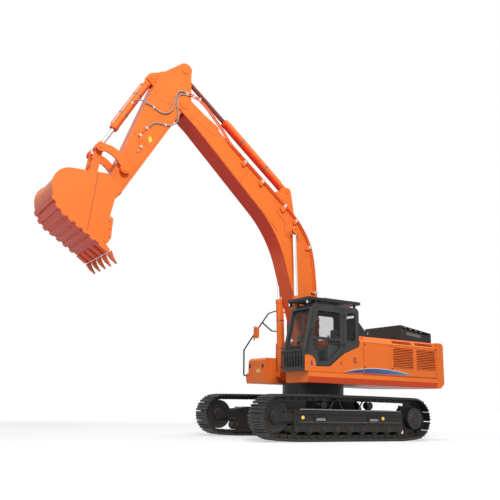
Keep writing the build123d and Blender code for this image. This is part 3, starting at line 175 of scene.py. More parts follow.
def makeFloor():
    half = studio["floorHalf"]
    mesh = bpy.data.meshes.new("floor")
    mesh.from_pydata([(x, y, 0) for x, y in rectangle(-half, -half, half, half)], [], [(0, 1, 2, 3)])
    floor = addToScene("floor", mesh)
    floor.location.z = studio["floorLevel"]
    material, tree, shader = newMaterial("floorPaper", {
        "Base Color": studio["floorColour"], "Roughness": 0.9, "Specular IOR Level": 0.1,
        "Emission Color": (1, 1, 1, 1)})
    length = add(tree, "VectorMath", operation="LENGTH")
    tree.links.new(add(tree, "NewGeometry").outputs["Position"], length.inputs[0])
    level = remap(tree, length.outputs["Value"], studio["floorReach"] + studio["floorGlow"], "SMOOTHSTEP")
    tree.links.new(math(tree, "MULTIPLY", seenDirectly(tree), level), shader.inputs["Emission Strength"])
    mesh.materials.append(material)


def makeLamps():
    for name, (place, aim, width, watts) in studio["lamps"].items():
        data = bpy.data.lights.new(name, "AREA")
        data.shape = "DISK"
        data.size = width
        data.energy = watts
        lamp = addToScene(name, data)
        lamp.location = place
        lamp.rotation_euler = (Vector(aim) - Vector(place)).to_track_quat("-Z", "Y").to_euler()


# the corners of a rectangle, from its low corner to its high one
def rectangle(x1, z1, x2, z2):
    return [(x1, z1), (x2, z1), (x2, z2), (x1, z2)]


makeWorld()
makeFloor()
makeLamps()
print("studio made")


def newGroup(name, inputs, outputs):
    group = bpy.data.node_groups.new(name, "ShaderNodeTree")
    kind = "NodeSocketFloat"
    for label, value in inputs:
        group.interface.new_socket(name=label, in_out="INPUT", socket_type=kind).default_value = value
    for label in outputs:
        group.interface.new_socket(name=label, in_out="OUTPUT", socket_type=kind)
    return group, group.nodes.new("NodeGroupInput"), group.nodes.new("NodeGroupOutput")


def noise(tree, place, scale, detail=3, roughness=0.55):
    node = add(tree, "TexNoise")
    for key, value in (("Vector", place), ("Scale", scale), ("Detail", detail), ("Roughness", roughness)):
        feed(tree, node.inputs[key], value)
    return node.outputs["Fac"]


def objectPlace(tree):
    return add(tree, "TexCoord").outputs["Object"]


# rubbed corners, broken up by noise
def makeEdgeWear():
    group, inlet, outlet = newGroup("edgeWear", [("Width", 0.012), ("Amount", 0.5)], ["Mask"])
    rounded = add(group, "Bevel", samples=4)
    group.links.new(inlet.outputs["Width"], rounded.inputs["Radius"])
    dot = add(group, "VectorMath", operation="DOT_PRODUCT")
    group.links.new(rounded.outputs[0], dot.inputs[0])
    group.links.new(add(group, "NewGeometry").outputs["Normal"], dot.inputs[1])
    bend = math(group, "SUBTRACT", 1.0, dot.outputs["Value"], clamp=True)
    patches = math(group, "MULTIPLY", noise(group, objectPlace(group), 9), 9.0)
    shaped = math(group, "SUBTRACT", math(group, "MULTIPLY", bend, patches), 0.18, clamp=True)
    mask = math(group, "MULTIPLY", shaped, inlet.outputs["Amount"], clamp=True)
    group.links.new(mask, outlet.inputs["Mask"])
    return group


# dust on upward faces and towards the ground
def makeDustCover():
    group, inlet, outlet = newGroup("dustCover", [("Low", 0.0), ("High", 1.2), ("Amount", 0.5)], ["Mask"])
    place = objectPlace(group)
    limits = (inlet.outputs["High"], inlet.outputs["Low"], 0.0, 1.0)
    nearGround = remap(group, onePart(group, place, "Z"), limits)
    normal = onePart(group, add(group, "NewGeometry").outputs["Normal"], "Z")
    upward = math(group, "MULTIPLY", math(group, "MAXIMUM", normal, 0.0), 0.55)
    patches = noise(group, place, 3.5, detail=6, roughness=0.65)
    patchy = math(group, "MULTIPLY", math(group, "ADD", nearGround, upward), patches)
    mask = math(group, "MULTIPLY", patchy, inlet.outputs["Amount"], clamp=True)
    group.links.new(mask, outlet.inputs["Mask"])
    return group


# fine height of sprayed paint, a casting or rubber, and a broad tone
def makeSurfaceGrain():
    group, inlet, outlet = newGroup("surfaceGrain", [("Scale", 60.0), ("Coarse", 0.2)], ["Height", "Tone"])
    place = objectPlace(group)
    fine = noise(group, place, inlet.outputs["Scale"], detail=4)
    broad = noise(group, place, 1.3, detail=5, roughness=0.6)
    mixed = math(group, "ADD", fine, math(group, "MULTIPLY", broad, inlet.outputs["Coarse"]))
    group.links.new(mixed, outlet.inputs["Height"])
    group.links.new(broad, outlet.inputs["Tone"])
    return group


# painted shade: faces that turn down get a redder colour, standing in for the shade under them
def makePaintedUnderShade():
    group, _, outlet = newGroup("paintedUnderShade", (), ["Mask"])
    normal = onePart(group, add(group, "NewGeometry").outputs["Normal"], "Z")
    group.links.new(remap(group, normal, (0.05, -0.55, 0.0, 0.85), "SMOOTHSTEP"), outlet.inputs["Mask"])
    return group


edgeWear = makeEdgeWear()
dustCover = makeDustCover()
surfaceGrain = makeSurfaceGrain()
paintedUnderShade = makePaintedUnderShade()


def useGroup(tree, group, **values):
    node = add(tree, "Group", node_tree=group)
    for key, value in values.items():
        node.inputs[key].default_value = value
    return node.outputs


def mixColour(tree, mask, under, over):
    node = add(tree, "Mix", data_type="RGBA")
    for socket, value in ((0, mask), (6, under), (7, over)):
        feed(tree, node.inputs[socket], value)
    return node.outputs[2]


dustColour = (0.30, 0.26, 0.21, 1)
orange = (0.84, 0.180, 0.030)
nearBlack = (0.012, 0.0115, 0.011)
finishDefaults = {
    "roughness": 0.4, "metallic": 0.0, "tone": 0.06,
    "grain": 60, "height": 0.0006, "coarse": 0.2,
    "wear": 0.0, "worn": (0.30, 0.29, 0.28), "wornShine": 0.0,
    "dust": 0.0, "dustHigh": 1.2, "coat": 0.0, "glow": 0.0, "alpha": 1.0,
    "specular": 0.5, "shade": None,
}
# shade: the redder colour painted on faces that turn down, standing in for their shade
onOrange = dict(specular=0.14, shade=(0.66, 0.022, 0.012), dustHigh=1.9)
onSteel = dict(metallic=0.1, specular=0.35, wear=0.7, wornShine=0.6)
onStripe = dict(roughness=0.34, coat=0.3)
finishTable = {
    "orangePaint": (orange, dict(
        onOrange, roughness=0.38, tone=0.03, grain=85, coat=0.03, wear=0.25, worn=(0.62, 0.13, 0.03), dust=0.06)),
    "orangeCast": (orange, dict(
        onOrange, roughness=0.44, tone=0.05, grain=38, height=0.0016, coarse=0.6,
        wear=0.3, worn=(0.60, 0.13, 0.03), dust=0.08)),
    "blackPaint": ((0.012, 0.012, 0.011), dict(
        roughness=0.46, tone=0.10, grain=70, wear=0.5, specular=0.35,
        worn=(0.10, 0.095, 0.09), dust=0.08, dustHigh=1.0)),
    "frameBlack": (nearBlack, dict(
        roughness=0.48, tone=0.12, grain=55, coarse=0.4, wear=0.55, specular=0.28,
        worn=(0.14, 0.13, 0.12), dust=0.10, dustHigh=0.9)),
    "cabGrey": ((0.022, 0.023, 0.021), dict(
        roughness=0.36, tone=0.08, grain=75, coat=0.08, wear=0.35, specular=0.4,
        worn=(0.13, 0.13, 0.13), dust=0.04, dustHigh=2.2)),
    "trackSteel": (nearBlack, dict(
        onSteel, roughness=0.42, tone=0.20, grain=45, height=0.0012, coarse=0.8,
        worn=(0.20, 0.19, 0.18), dust=0.14, dustHigh=0.7)),
    "castSteel": ((0.016, 0.015, 0.0145), dict(
        onSteel, roughness=0.50, tone=0.16, grain=40, height=0.0014, coarse=0.6,
        worn=(0.24, 0.23, 0.22), dust=0.12, dustHigh=0.8)),
    "toothSteel": ((0.66, 0.12, 0.030), dict(
        roughness=0.46, tone=0.20, grain=50, height=0.0014, coarse=0.6,
        specular=0.25, wear=0.5, worn=(0.16, 0.06, 0.035))),
    "chromeRod": ((0.78, 0.79, 0.81), dict(roughness=0.14, metallic=1.0, tone=0.02, grain=200, height=0.0001)),
    "zincSteel": ((0.62, 0.62, 0.60), dict(roughness=0.30, metallic=0.9, tone=0.08, grain=90, height=0.0003)),
    "boltSteel": ((0.16, 0.155, 0.15), dict(roughness=0.38, metallic=0.8, tone=0.10, grain=90, height=0.0003)),
    # light grey: wear on the step treads, and painted highlight on the frame ledges
    "wearAndHighlightGrey": ((0.36, 0.355, 0.35), dict(metallic=0.2, tone=0.25)),
    "rubberBlack": ((0.018, 0.018, 0.018), dict(roughness=0.62, grain=160)),
    "hoseGrey": ((0.26, 0.25, 0.24), dict(roughness=0.36, tone=0.08, grain=260, height=0.0008)),
    "seatCloth": ((0.040, 0.040, 0.044), dict(roughness=0.85, tone=0.15, grain=420, height=0.002)),
    "cabPlastic": ((0.055, 0.055, 0.058), dict(roughness=0.55, tone=0.08, grain=240, height=0.0009)),
    "trimWhite": ((0.72, 0.71, 0.68), dict(tone=0.04)),
    "labelYellow": ((0.86, 0.56, 0.10), dict(roughness=0.42, tone=0.04, grain=120)),
    # painted shade: dark colours for sheets and patches set in openings, slots and seams where shade falls
    "recessShadeDark": ((0.010, 0.009, 0.008), dict(roughness=0.8, tone=0.05)),
    "recessShadeOrange": ((0.16, 0.030, 0.010), dict(roughness=0.6, tone=0.05)),
    "recessShadeBrown": ((0.050, 0.018, 0.010), dict(roughness=0.7, tone=0.10)),
    "engineGrey": ((0.09, 0.09, 0.088), dict(roughness=0.55, metallic=0.4, tone=0.2, grain=30)),
    "stripeDark": ((0.012, 0.040, 0.22), dict(onStripe, tone=0.05)),
    "stripeBlend": ((0.020, 0.15, 0.46), dict(onStripe, tone=0.08)),
    "labelDim": ((0.13, 0.128, 0.12), dict(roughness=0.45, tone=0.08)),
    "clearGlass": ((0.06, 0.07, 0.068), dict(roughness=0.05, tone=0.05, alpha=0.14, specular=0.3)),
    # painted shade: the weld beads are real, and their dark red stands in for the shade along plate edges and seams
    "seamShadeRed": ((0.30, 0.035, 0.015), dict(roughness=0.5, tone=0.08)),
    "rodShade": ((0.20, 0.055, 0.040), dict(roughness=0.25, metallic=0.6, tone=0.04, grain=200, height=0.0001)),
    "mirrorFace": ((0.85, 0.87, 0.88), dict(roughness=0.06, metallic=1.0, tone=0.02)),
    "lampLens": ((0.80, 0.82, 0.84), dict(roughness=0.14, tone=0.05, glow=0.15)),
    "redLens": ((0.55, 0.02, 0.015), dict(roughness=0.20, tone=0.08, glow=0.05)),
    # painted glow: the amber reflectors give off light of their own, standing in for the light they throw back
    "amberReflector": ((0.90, 0.55, 0.08), dict(roughness=0.28, tone=0.08, glow=0.25)),
}


def makeFinish(name, colour, changes):
    look = {**finishDefaults, **changes}
    material, tree, shader = newMaterial(name, {
        "Coat Weight": look["coat"], "Coat Roughness": 0.12, "Alpha": look["alpha"],
        "Metallic": look["metallic"], "Specular IOR Level": look["specular"],
        "Emission Color": colour + (1,), "Emission Strength": look["glow"]})
    surface = useGroup(tree, surfaceGrain, Scale=look["grain"], Coarse=look["coarse"])
    tone = surface["Tone"]
    darker = tuple(c * (1 - look["tone"] * 2.4) for c in colour) + (1,)
    lighter = tuple(min(1, c * (1 + look["tone"])) for c in colour) + (1,)
    body = mixColour(tree, tone, darker, lighter)
    # painted shade: faces that turn down take the redder shade colour
    if look["shade"]:
        body = mixColour(tree, useGroup(tree, paintedUnderShade)["Mask"], body, look["shade"] + (1,))
    rough = math(tree, "ADD", math(tree, "MULTIPLY", tone, 0.16), look["roughness"] - 0.08)
    if look["dust"]:
        mask = useGroup(tree, dustCover, High=look["dustHigh"], Amount=look["dust"])["Mask"]
        body = mixColour(tree, mask, body, dustColour)
        rough = math(tree, "ADD", rough, math(tree, "MULTIPLY", mask, 0.3), clamp=True)
    if look["wear"]:
        mask = useGroup(tree, edgeWear, Amount=look["wear"])["Mask"]
        body = mixColour(tree, mask, body, look["worn"] + (1,))
        if look["wornShine"]:
            shine = math(tree, "MULTIPLY", mask, look["wornShine"])
            metal = math(tree, "ADD", shine, look["metallic"], clamp=True)
            tree.links.new(metal, shader.inputs["Metallic"])
    bump = add(tree, "Bump")
    bump.inputs["Distance"].default_value = look["height"]
    tree.links.new(surface["Height"], bump.inputs["Height"])
    for key, value in (("Base Color", body), ("Roughness", rough), ("Normal", bump.outputs[0])):
        tree.links.new(value, shader.inputs[key])
    return material


finishes = {name: makeFinish(name, *row) for name, row in finishTable.items()}

stripeBlend = {
    "along": (0.1, -2.2),     # x of its front and of its rear
    "stops": ((0.0, (0.010, 0.022, 0.085, 1)), (0.45, (0.010, 0.050, 0.200, 1)), (1.0, (0.020, 0.190, 0.400, 1))),
}


# the stripe runs from navy at its front tip to a brighter blue behind
def makeStripeBlend():
    tree = finishes["stripeBlend"].node_tree
    along = remap(tree, onePart(tree, objectPlace(tree), "X"), stripeBlend["along"] + (0.0, 1.0))
    ramp = add(tree, "ValToRGB")
    stops = ramp.color_ramp.elements
    stops.new(stripeBlend["stops"][1][0])
    for stop, (position, colour) in zip(stops, stripeBlend["stops"]):
        stop.position, stop.color = position, colour
    tree.links.new(along, ramp.inputs[0])
    tree.links.new(ramp.outputs[0], tree.nodes["Principled BSDF"].inputs["Base Color"])


makeStripeBlend()
print("finishes made:", len(finishes))

nodeFinish = {
    "orangePaint": (
        "arm", "arm_cylinder_tube", "boom", "boom_cylinder_tube", "bucket", "bucket_cylinder_tube",
        "bucket_link", "rocker", "engine_lid", "hood", "left_side_panel", "pump_door", "radiator_door",
        "service_door_left", "fuel_tank", "hydraulic_tank", "main_frame", "tool_box", "tool_box_lid"),
    "orangeCast": ("counterweight", "mirror"),
    "blackPaint": ("cab_back_cover", "front_guard", "roof_guard", "raised_cover", "handrail"),
    "frameBlack": ("car_body", "swing_ring", "track_frame_left", "track_frame_right"),
    "cabGrey": ("cab_frame", "cab_door"),
    "trackSteel": ("idlers", "sprockets"),
    "castSteel": ("travel_motors", "track_rollers", "carrier_rollers"),
    "toothSteel": ("bucket_teeth",),
    "chromeRod": ("boom_cylinder_rod", "bucket_cylinder_rod"),
    "rodShade": ("arm_cylinder_rod",),
    "clearGlass": ("cab_glass", "door_glass"),
    "seatCloth": ("operator_seat",),
    "cabPlastic": ("cab_console",),
    "engineGrey": ("engine",),
}
edgeSoftness = {"clearGlass": 0, "chromeRod": 0.002, "seatCloth": 0.03}
plainSoftness = 0.006
sharpAngle = radians(32)


def softenEdges(obj, width):
    bevel = obj.modifiers.new("softEdge", "BEVEL")
    bevel.width = width
    bevel.segments = 2
    bevel.limit_method = "ANGLE"
    bevel.angle_limit = sharpAngle
    bevel.use_clamp_overlap = True


for finishName, names in nodeFinish.items():
    width = edgeSoftness.get(finishName, plainSoftness)
    for name in names:
        cadNodes[name].data.materials.clear()
        cadNodes[name].data.materials.append(finishes[finishName])
        if width:
            softenEdges(cadNodes[name], width)
print("node finishes set")


# a point given as two numbers across an axis, and its level along it
def spot(point, level, across):
    a, b = point
    if across == "y":
        return (a, level, b)
    return (level, a, b) if across == "x" else (a, b, level)


def addPrism(build, outline, low, high, across="y"):
    lower = [build.verts.new(spot(p, low, across)) for p in outline]
    upper = [build.verts.new(spot(p, high, across)) for p in outline]
    build.faces.new(lower)
    build.faces.new(upper[::-1])
    for i in range(len(outline)):
        j = (i + 1) % len(outline)
        build.faces.new((lower[j], lower[i], upper[i], upper[j]))
    return lower + upper


def addBox(build, low, high):
    return addPrism(build, rectangle(low[0], low[2], high[0], high[2]), low[1], high[1])


# two depths out from a face, in rising order
def span(face, sign, *depths):
    return sorted(face + sign * depth for depth in depths)


# a box from x1, z1 to x2, z2 between two levels across
def addPatch(build, x1, z1, x2, z2, levels):
    addPrism(build, rectangle(x1, z1, x2, z2), *levels)


# faces between neighbouring rings, and a cap on each end unless it is a hoop
def joinRings(build, rings, count, hoop=False):
    for first, second in zip(rings, rings[1:] + (rings[:1] if hoop else [])):
        for i in range(count):
            j = (i + 1) % count
            corners = (first[i % len(first)], first[j % len(first)],
                       second[j % len(second)], second[i % len(second)])
            unique = list(dict.fromkeys(corners))
            if len(unique) > 2:
                build.faces.new(unique)
    for ring in () if hoop else (rings[0], rings[-1]):
        if len(ring) > 1:
            build.faces.new(ring)


def around(count, first=0.0):
    return [2 * pi * (i + first) / count for i in range(count)]


# a turned shape: profile of (radius, height) along a direction from a place
def addTurned(build, profile, place, direction, count=24, hoop=False):
    turn = Vector(direction).to_track_quat("Z", "X").to_matrix()
    rings = []
    for radius, height in profile:
        angles = around(count) if radius > 1e-6 else [0.0]
        points = [Vector((radius * cos(a), radius * sin(a), height)) for a in angles]
        rings.append([build.verts.new(Vector(place) + turn @ p) for p in points])
    joinRings(build, rings, count, hoop)


def addBar(build, start, end, radius, count=16):
    start, end = Vector(start), Vector(end)
    addTurned(build, [(radius, 0), (radius, (end - start).length)], start, end - start, count)


# a washer and a six-sided head, in shares of the bolt's size
bolt = {
    "washer": ((0.85, 0), (0.85, 0.16)), "washerSides": 14, "seat": 0.16,
    "head": ((0.58, 0), (0.58, 0.5), (0.45, 0.62)),
}


def addBolt(build, place, direction, size):
    washer, head = ([(size * r, size * h) for r, h in bolt[key]] for key in ("washer", "head"))
    addTurned(build, washer, place, direction, bolt["washerSides"])
    seatPlace = Vector(place) + Vector(direction).normalized() * size * bolt["seat"]
    addTurned(build, head, seatPlace, direction, 6)


# bolts round an axis that runs across
def addBoltRing(build, centre, sign, radius, angles, size):
    x, y, z = centre
    for a in angles:
        addBolt(build, (x + radius * cos(a), y, z + radius * sin(a)), (0, sign, 0), size)


def addTube(build, points, radius, count=12):
    points = [Vector(p) for p in points]
    rings = []
    side = None
    for i, point in enumerate(points):
        before, after = points[max(i - 1, 0)], points[min(i + 1, len(points) - 1)]
        along = (after - before).normalized()
        if side is None:
            side = along.orthogonal().normalized()
        side = (side - along * side.dot(along)).normalized()
        other = along.cross(side)
        rings.append([build.verts.new(point + radius * (cos(a) * side + sin(a) * other)) for a in around(count)])
    joinRings(build, rings, count)


def arc(start, corner, end, steps):
    shares = [k / steps for k in range(steps + 1)]
    return [start * (1 - t) ** 2 + corner * 2 * t * (1 - t) + end * t ** 2 for t in shares]


# corners of a rigid pipe rounded with arcs
def bendCorners(points, radius, steps=6):
    points = [Vector(p) for p in points]
    route = [points[0]]
    for before, corner, after in zip(points, points[1:], points[2:]):
        inward, outward = before - corner, after - corner
        reach = min(radius, inward.length * 0.45, outward.length * 0.45)
        route += arc(corner + inward.normalized() * reach, corner, corner + outward.normalized() * reach, steps)
    return route + [points[-1]]


# a closed outline with its corners rounded by a true radius
def roundedOutline(points, radius, steps=7):
    route = []
    for i, corner in enumerate(points):
        here = Vector(corner)
        before, after = Vector(points[i - 1]) - here, Vector(points[(i + 1) % len(points)]) - here
        half = before.angle(after) / 2
        reach = min(radius / max(sin(half) / cos(half), 0.02), before.length * 0.48, after.length * 0.48)
        start, end = here + before.normalized() * reach, here + after.normalized() * reach
        route += [tuple(p) for p in arc(start, here, end, steps)]
    return route


# a thin tube that runs round a side-view outline
def addLoop(build, outline, level, radius, count=8):
    spots = [(x, level, z) for x, z in outline]
    addTube(build, spots + spots[:1], radius, count)


# corners of a small block: spans along a run and out from it, in shares of a size
def stripAt(centre, run, out, corners):
    return [tuple(Vector(centre) + run * a + out * b) for a, b in corners]


def meshObject(name, build, finish):
    mesh = bpy.data.meshes.new(name)
    build.to_mesh(mesh)
    build.free()
    mesh.materials.append(finishes[finish])
    return addToScene(name, mesh)


def newPiece(name, build, finish, body, soften=0.0, replaced=(), flat=False):
    bmesh.ops.recalc_face_normals(build, faces=build.faces)
    obj = meshObject(name, build, finish)
    if not flat:
        obj.data.shade_smooth()
        obj.data.set_sharp_from_angle(angle=sharpAngle)
    if soften:
        softenEdges(obj, soften)
    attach(obj, body)
    if replaced:
        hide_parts(*replaced)


def newBuilds(count):
    return [bmesh.new() for _ in range(count)]


# rows of places, a direction and a size
def makeBolts(name, body, *rows):
    build = bmesh.new()
    for places, direction, size in rows:
        for place in places:
            addBolt(build, place, direction, size)
    newPiece(name, build, "boltSteel", body)


# one rounded outline between two levels
def makePlate(name, finish, body, outline, corner, low, high, across="y", **options):
    build = bmesh.new()
    addPrism(build, roundedOutline(outline, corner), low, high, across)
    newPiece(name, build, finish, body, **options)


track = {
    "gauge": 2.74, "shoeWidth": 0.60, "shoes": 52,
    "pinGrowth": 0.058,      # the pins' height outside the wheels
    "plateLow": 0.110, "plateHigh": 0.135, "grouserHigh": 0.165,
    "grousers": (0.36, 0.0, -0.36),      # their places, in shares of the pitch
    "linkSide": 0.072, "linkWidth": 0.036,
    "pinRadius": 0.024, "pinHalf": 0.112,
    "nutSide": 0.082, "nuts": (-0.055, 0.055), "nutProfile": ((0.015, 0), (0.015, 0.012)),
    # the wheels that the chain runs round: x, z, radius
    "wheels": (
        (-1.70, 0.282, 0.117), (1.65, 0.282, 0.117), (2.20, 0.560, 0.370),
        (0.75, 0.875, 0.080), (-0.75, 0.875, 0.080), (-2.20, 0.575, 0.370),
    ),
}


# the chain's line as straight and round stretches, counter-clockwise in the side view
def chainStretches(growth):
    wheels = track["wheels"]
    nexts = wheels[1:] + wheels[:1]
    leave = [atan2(z2 - z1, x2 - x1) - acos((r1 - r2) / hypot(x2 - x1, z2 - z1))
             for (x1, z1, r1), (x2, z2, r2) in zip(wheels, nexts)]
    arrive = leave[-1:] + leave[:-1]
    stretches = []
    for (x, z, r), (x2, z2, r2), inward, outward in zip(wheels, nexts, arrive, leave):
        turn = (outward - inward) % (2 * pi)
        stretches.append(("round", (x, z), r + growth, inward, (r + growth) * turn))
        start = (x + (r + growth) * cos(outward), z + (r + growth) * sin(outward))
        end = (x2 + (r2 + growth) * cos(outward), z2 + (r2 + growth) * sin(outward))
        stretches.append(("straight", start, end, outward, hypot(end[0] - start[0], end[1] - start[1])))
    return stretches


def chainPoint(stretches, distance):
    for kind, first, second, angle, length in stretches:
        if distance > length:
            distance -= length
        elif kind == "round":
            a = angle + distance / second
            return first[0] + second * cos(a), first[1] + second * sin(a)
        else:
            t = distance / length
            return first[0] + (second[0] - first[0]) * t, first[1] + (second[1] - first[1]) * t
    return chainPoint(stretches, 0)


# turns a shape so that it points along a line, across the machine and outwards
def sideTurn(along):
    return Matrix((along, Vector((0, 1, 0)), Vector((along.z, 0, -along.x)))).transposed()


def setDown(verts, middle, turn, shift=0.0):
    for v in verts:
        v.co = middle + turn @ (v.co + Vector((0, shift, 0)))


# one shoe: along the chain, and outwards from the pins' line
def shoeOutline(pitch, half):
    low, high, rise = (track[key] - track["pinGrowth"] for key in ("plateLow", "plateHigh", "grouserHigh"))
    outline = [(-half + 0.010, low), (half - 0.004, low), (half + 0.012, low - 0.012), (half + 0.016, low + 0.004)]
    for share in track["grousers"]:
        x = share * pitch
        outline += [(x + 0.017, high), (x + 0.007, rise), (x - 0.007, rise), (x - 0.017, high)]
    return outline + [(-half + 0.006, high), (-half + 0.002, low + 0.008)]


def linkOutline(half):
    return [(-half - 0.030, -0.022), (-half - 0.012, -0.040), (half - 0.03, -0.044), (half + 0.022, -0.034),
            (half + 0.038, -0.008), (half + 0.020, 0.030), (half - 0.03, 0.052), (-half + 0.02, 0.052),
            (-half - 0.024, 0.024)]


def makeTrack(side, centreY):
    stretches = chainStretches(track["pinGrowth"])
    total = sum(s[4] for s in stretches)
    pitch = total / track["shoes"]
    shoe, link = shoeOutline(pitch, pitch / 2), linkOutline(pitch / 2)
    wide, narrow = track["shoeWidth"] / 2, track["linkWidth"] / 2
    reach = Vector((0, track["pinHalf"], 0))
    shoes, chain = newBuilds(2)
    for i in range(track["shoes"]):
        x1, z1 = chainPoint(stretches, i * pitch)
        x2, z2 = chainPoint(stretches, (i + 1) * pitch % total)
        middle = Vector(((x1 + x2) / 2, centreY, (z1 + z2) / 2))
        turn = sideTurn(Vector((x2 - x1, 0, z2 - z1)).normalized())
        setDown(addPrism(shoes, shoe, -wide, wide), middle, turn)
        for y in (-1, 1):
            setDown(addPrism(chain, link, -narrow, narrow), middle, turn, y * track["linkSide"])
            for x in track["nuts"]:
                nut = Vector((x, y * track["nutSide"], track["plateHigh"] - track["pinGrowth"]))
                addTurned(chain, track["nutProfile"], middle + turn @ nut, turn.col[2], 6)
        pin = Vector((x1, centreY, z1))
        addBar(chain, pin - reach, pin + reach, track["pinRadius"], 10)
    newPiece(f"trackShoes.{side}", shoes, "trackSteel", "undercarriage", replaced=(f"track_{side}",))
    newPiece(f"trackChain.{side}", chain, "castSteel", "undercarriage")


for side, sign in sides:
    makeTrack(side, sign * track["gauge"] / 2)
print("tracks made")

# profiles are of (radius, distance out from the middle or from the face)
wheels = {
    "teeth": 13, "toothRadius": 0.425, "toothHalf": 0.034,
    "tooth": ((-0.062, -0.075), (0.062, -0.075), (0.050, -0.01), (0.020, 0.050), (-0.020, 0.050), (-0.050, -0.01)),
    "motorReach": 0.225,
    "cover": ((0.262, -0.006), (0.262, 0.010), (0.250, 0.018), (0.195, 0.022), (0.180, 0.044),
              (0.168, 0.050), (0.060, 0.056), (0.0, 0.056)),
    # radius, level, angles, size
    "coverBolts": ((0.225, 0.018, around(16), 0.020), (0.11, 0.052, (0.4, 2.4, 4.6), 0.024)),
    "idlerRim": ((0.366, 0.060), (0.366, 0.088), (0.350, 0.094), (0.318, 0.088), (0.308, 0.064)),
    "idlerHub": ((0.150, 0.060), (0.150, 0.120), (0.135, 0.132), (0.06, 0.134), (0, 0.134)),
    "hubBolts": (0.1, 0.132, around(6), 0.016),
    "rollerXs": tuple(-1.70 + i * 3.35 / 8 for i in range(9)), "rollerZ": 0.282,
    "rollerFlange": ((0.120, 0.082), (0.128, 0.088), (0.128, 0.100), (0.10, 0.108)),
    "rollerCap": ((0.062, 0.180), (0.062, 0.192), (0.045, 0.198), (0, 0.198)),
    "capBolts": ((-0.036, 0.036), 0.190, 0.012),     # places along x, level, size
    "carrierXs": (-0.75, 0.75), "carrierZ": 0.875,
    "carrierCap": ((0.082, 0.070), (0.092, 0.076), (0.092, 0.094), (0.05, 0.104), (0, 0.104)),
}


def makeWheelDetails(side, sign):
    y = sign * track["gauge"] / 2
    teeth, cover, idler, rollers = newBuilds(4)
    x, z = track["wheels"][5][:2]
    for a in around(wheels["teeth"], 0.5):
        base = Vector((x, y, z)) + Vector((cos(a), 0, sin(a))) * wheels["toothRadius"]
        verts = addPrism(teeth, wheels["tooth"], -wheels["toothHalf"], wheels["toothHalf"])
        setDown(verts, base, sideTurn(Vector((-sin(a), 0, cos(a)))))
    newPiece(f"sprocketTeeth.{side}", teeth, "castSteel", "undercarriage", soften=0.004)

    face = y + sign * wheels["motorReach"]
    addTurned(cover, wheels["cover"], (x, face, z), (0, sign, 0), 40)
    for radius, level, angles, size in wheels["coverBolts"]:
        addBoltRing(cover, (x, face + sign * level, z), sign, radius, angles, size)
    newPiece(f"motorCover.{side}", cover, "castSteel", "undercarriage")

    x, z = track["wheels"][2][:2]
    radius, level, angles, size = wheels["hubBolts"]
    for s in (1, -1):
        addTurned(idler, wheels["idlerRim"], (x, y, z), (0, s, 0), 48)
        addTurned(idler, wheels["idlerHub"], (x, y, z), (0, s, 0), 32)
        addBoltRing(idler, (x, y + s * level, z), s, radius, angles, size)
    newPiece(f"idlerRims.{side}", idler, "castSteel", "undercarriage")

    shifts, level, size = wheels["capBolts"]
    z = wheels["rollerZ"]
    for x in wheels["rollerXs"]:
        for s in (1, -1):
            addTurned(rollers, wheels["rollerFlange"], (x, y, z), (0, s, 0), 24)
            addTurned(rollers, wheels["rollerCap"], (x, y, z), (0, s, 0), 20)
            for dx in shifts:
                addBolt(rollers, (x + dx, y + s * level, z), (0, s, 0), size)
    for x in wheels["carrierXs"]:
        for s in (1, -1):
            addTurned(rollers, wheels["carrierCap"], (x, y, wheels["carrierZ"]), (0, s, 0), 24)
    newPiece(f"rollerCaps.{side}", rollers, "castSteel", "undercarriage")


for side, sign in sides:
    makeWheelDetails(side, sign)
print("wheels dressed")

sideFrame = {
    "faceY": 1.55,
    "stepXs": (0.93, -0.78), "stepZ": 0.555, "stepHalf": (0.17, 0.065), "rim": 0.012,
    "rimDepth": 0.022, "treadDepth": 0.030, "recessDepth": 0.003,
    "teeth": 9, "toothPitch": 0.030,
    "tooth": ((-0.012, -0.050), (0.012, -0.050), (0.012, -0.020), (0, -0.004), (-0.012, -0.020)),
    "treadBar": (0.15, -0.062, -0.048),      # half length, low, high
    "reflectorXs": (1.46, -1.10), "reflectorZ": 0.56, "reflectorRadius": 0.045,
    "hoopXs": (0.42, -0.50), "hoopY": 1.52, "hoopZ": 0.764, "hoopHalf": 0.20, "hoopRise": 0.23, "hoopRadius": 0.020,
    # shares of the half length and of the rise
    "hoop": ((-1, 0), (-0.62, 0.55), (-0.3, 1), (0.3, 1), (0.62, 0.55), (1, 0)),
    "hoopFoot": ((0.040, 0), (0.040, 0.012), (0.026, 0.020)),
    "boltRow": ([-1.62 + i * 3.24 / 21 for i in range(22)], 0.425, 0.014),
    "topBolts": ((1.62, 0.70), (1.48, 0.74), (-1.60, 0.70), (-1.46, 0.74)),
    "ledges": ((0.752, 0.016), (0.452, 0.012)), "ledgeXs": (-1.72, 1.56),     # level and depth
    "guardY": 1.227, "guard": (-1.86, 0.085, 1.74, 0.430), "guardThick": 0.010,
}


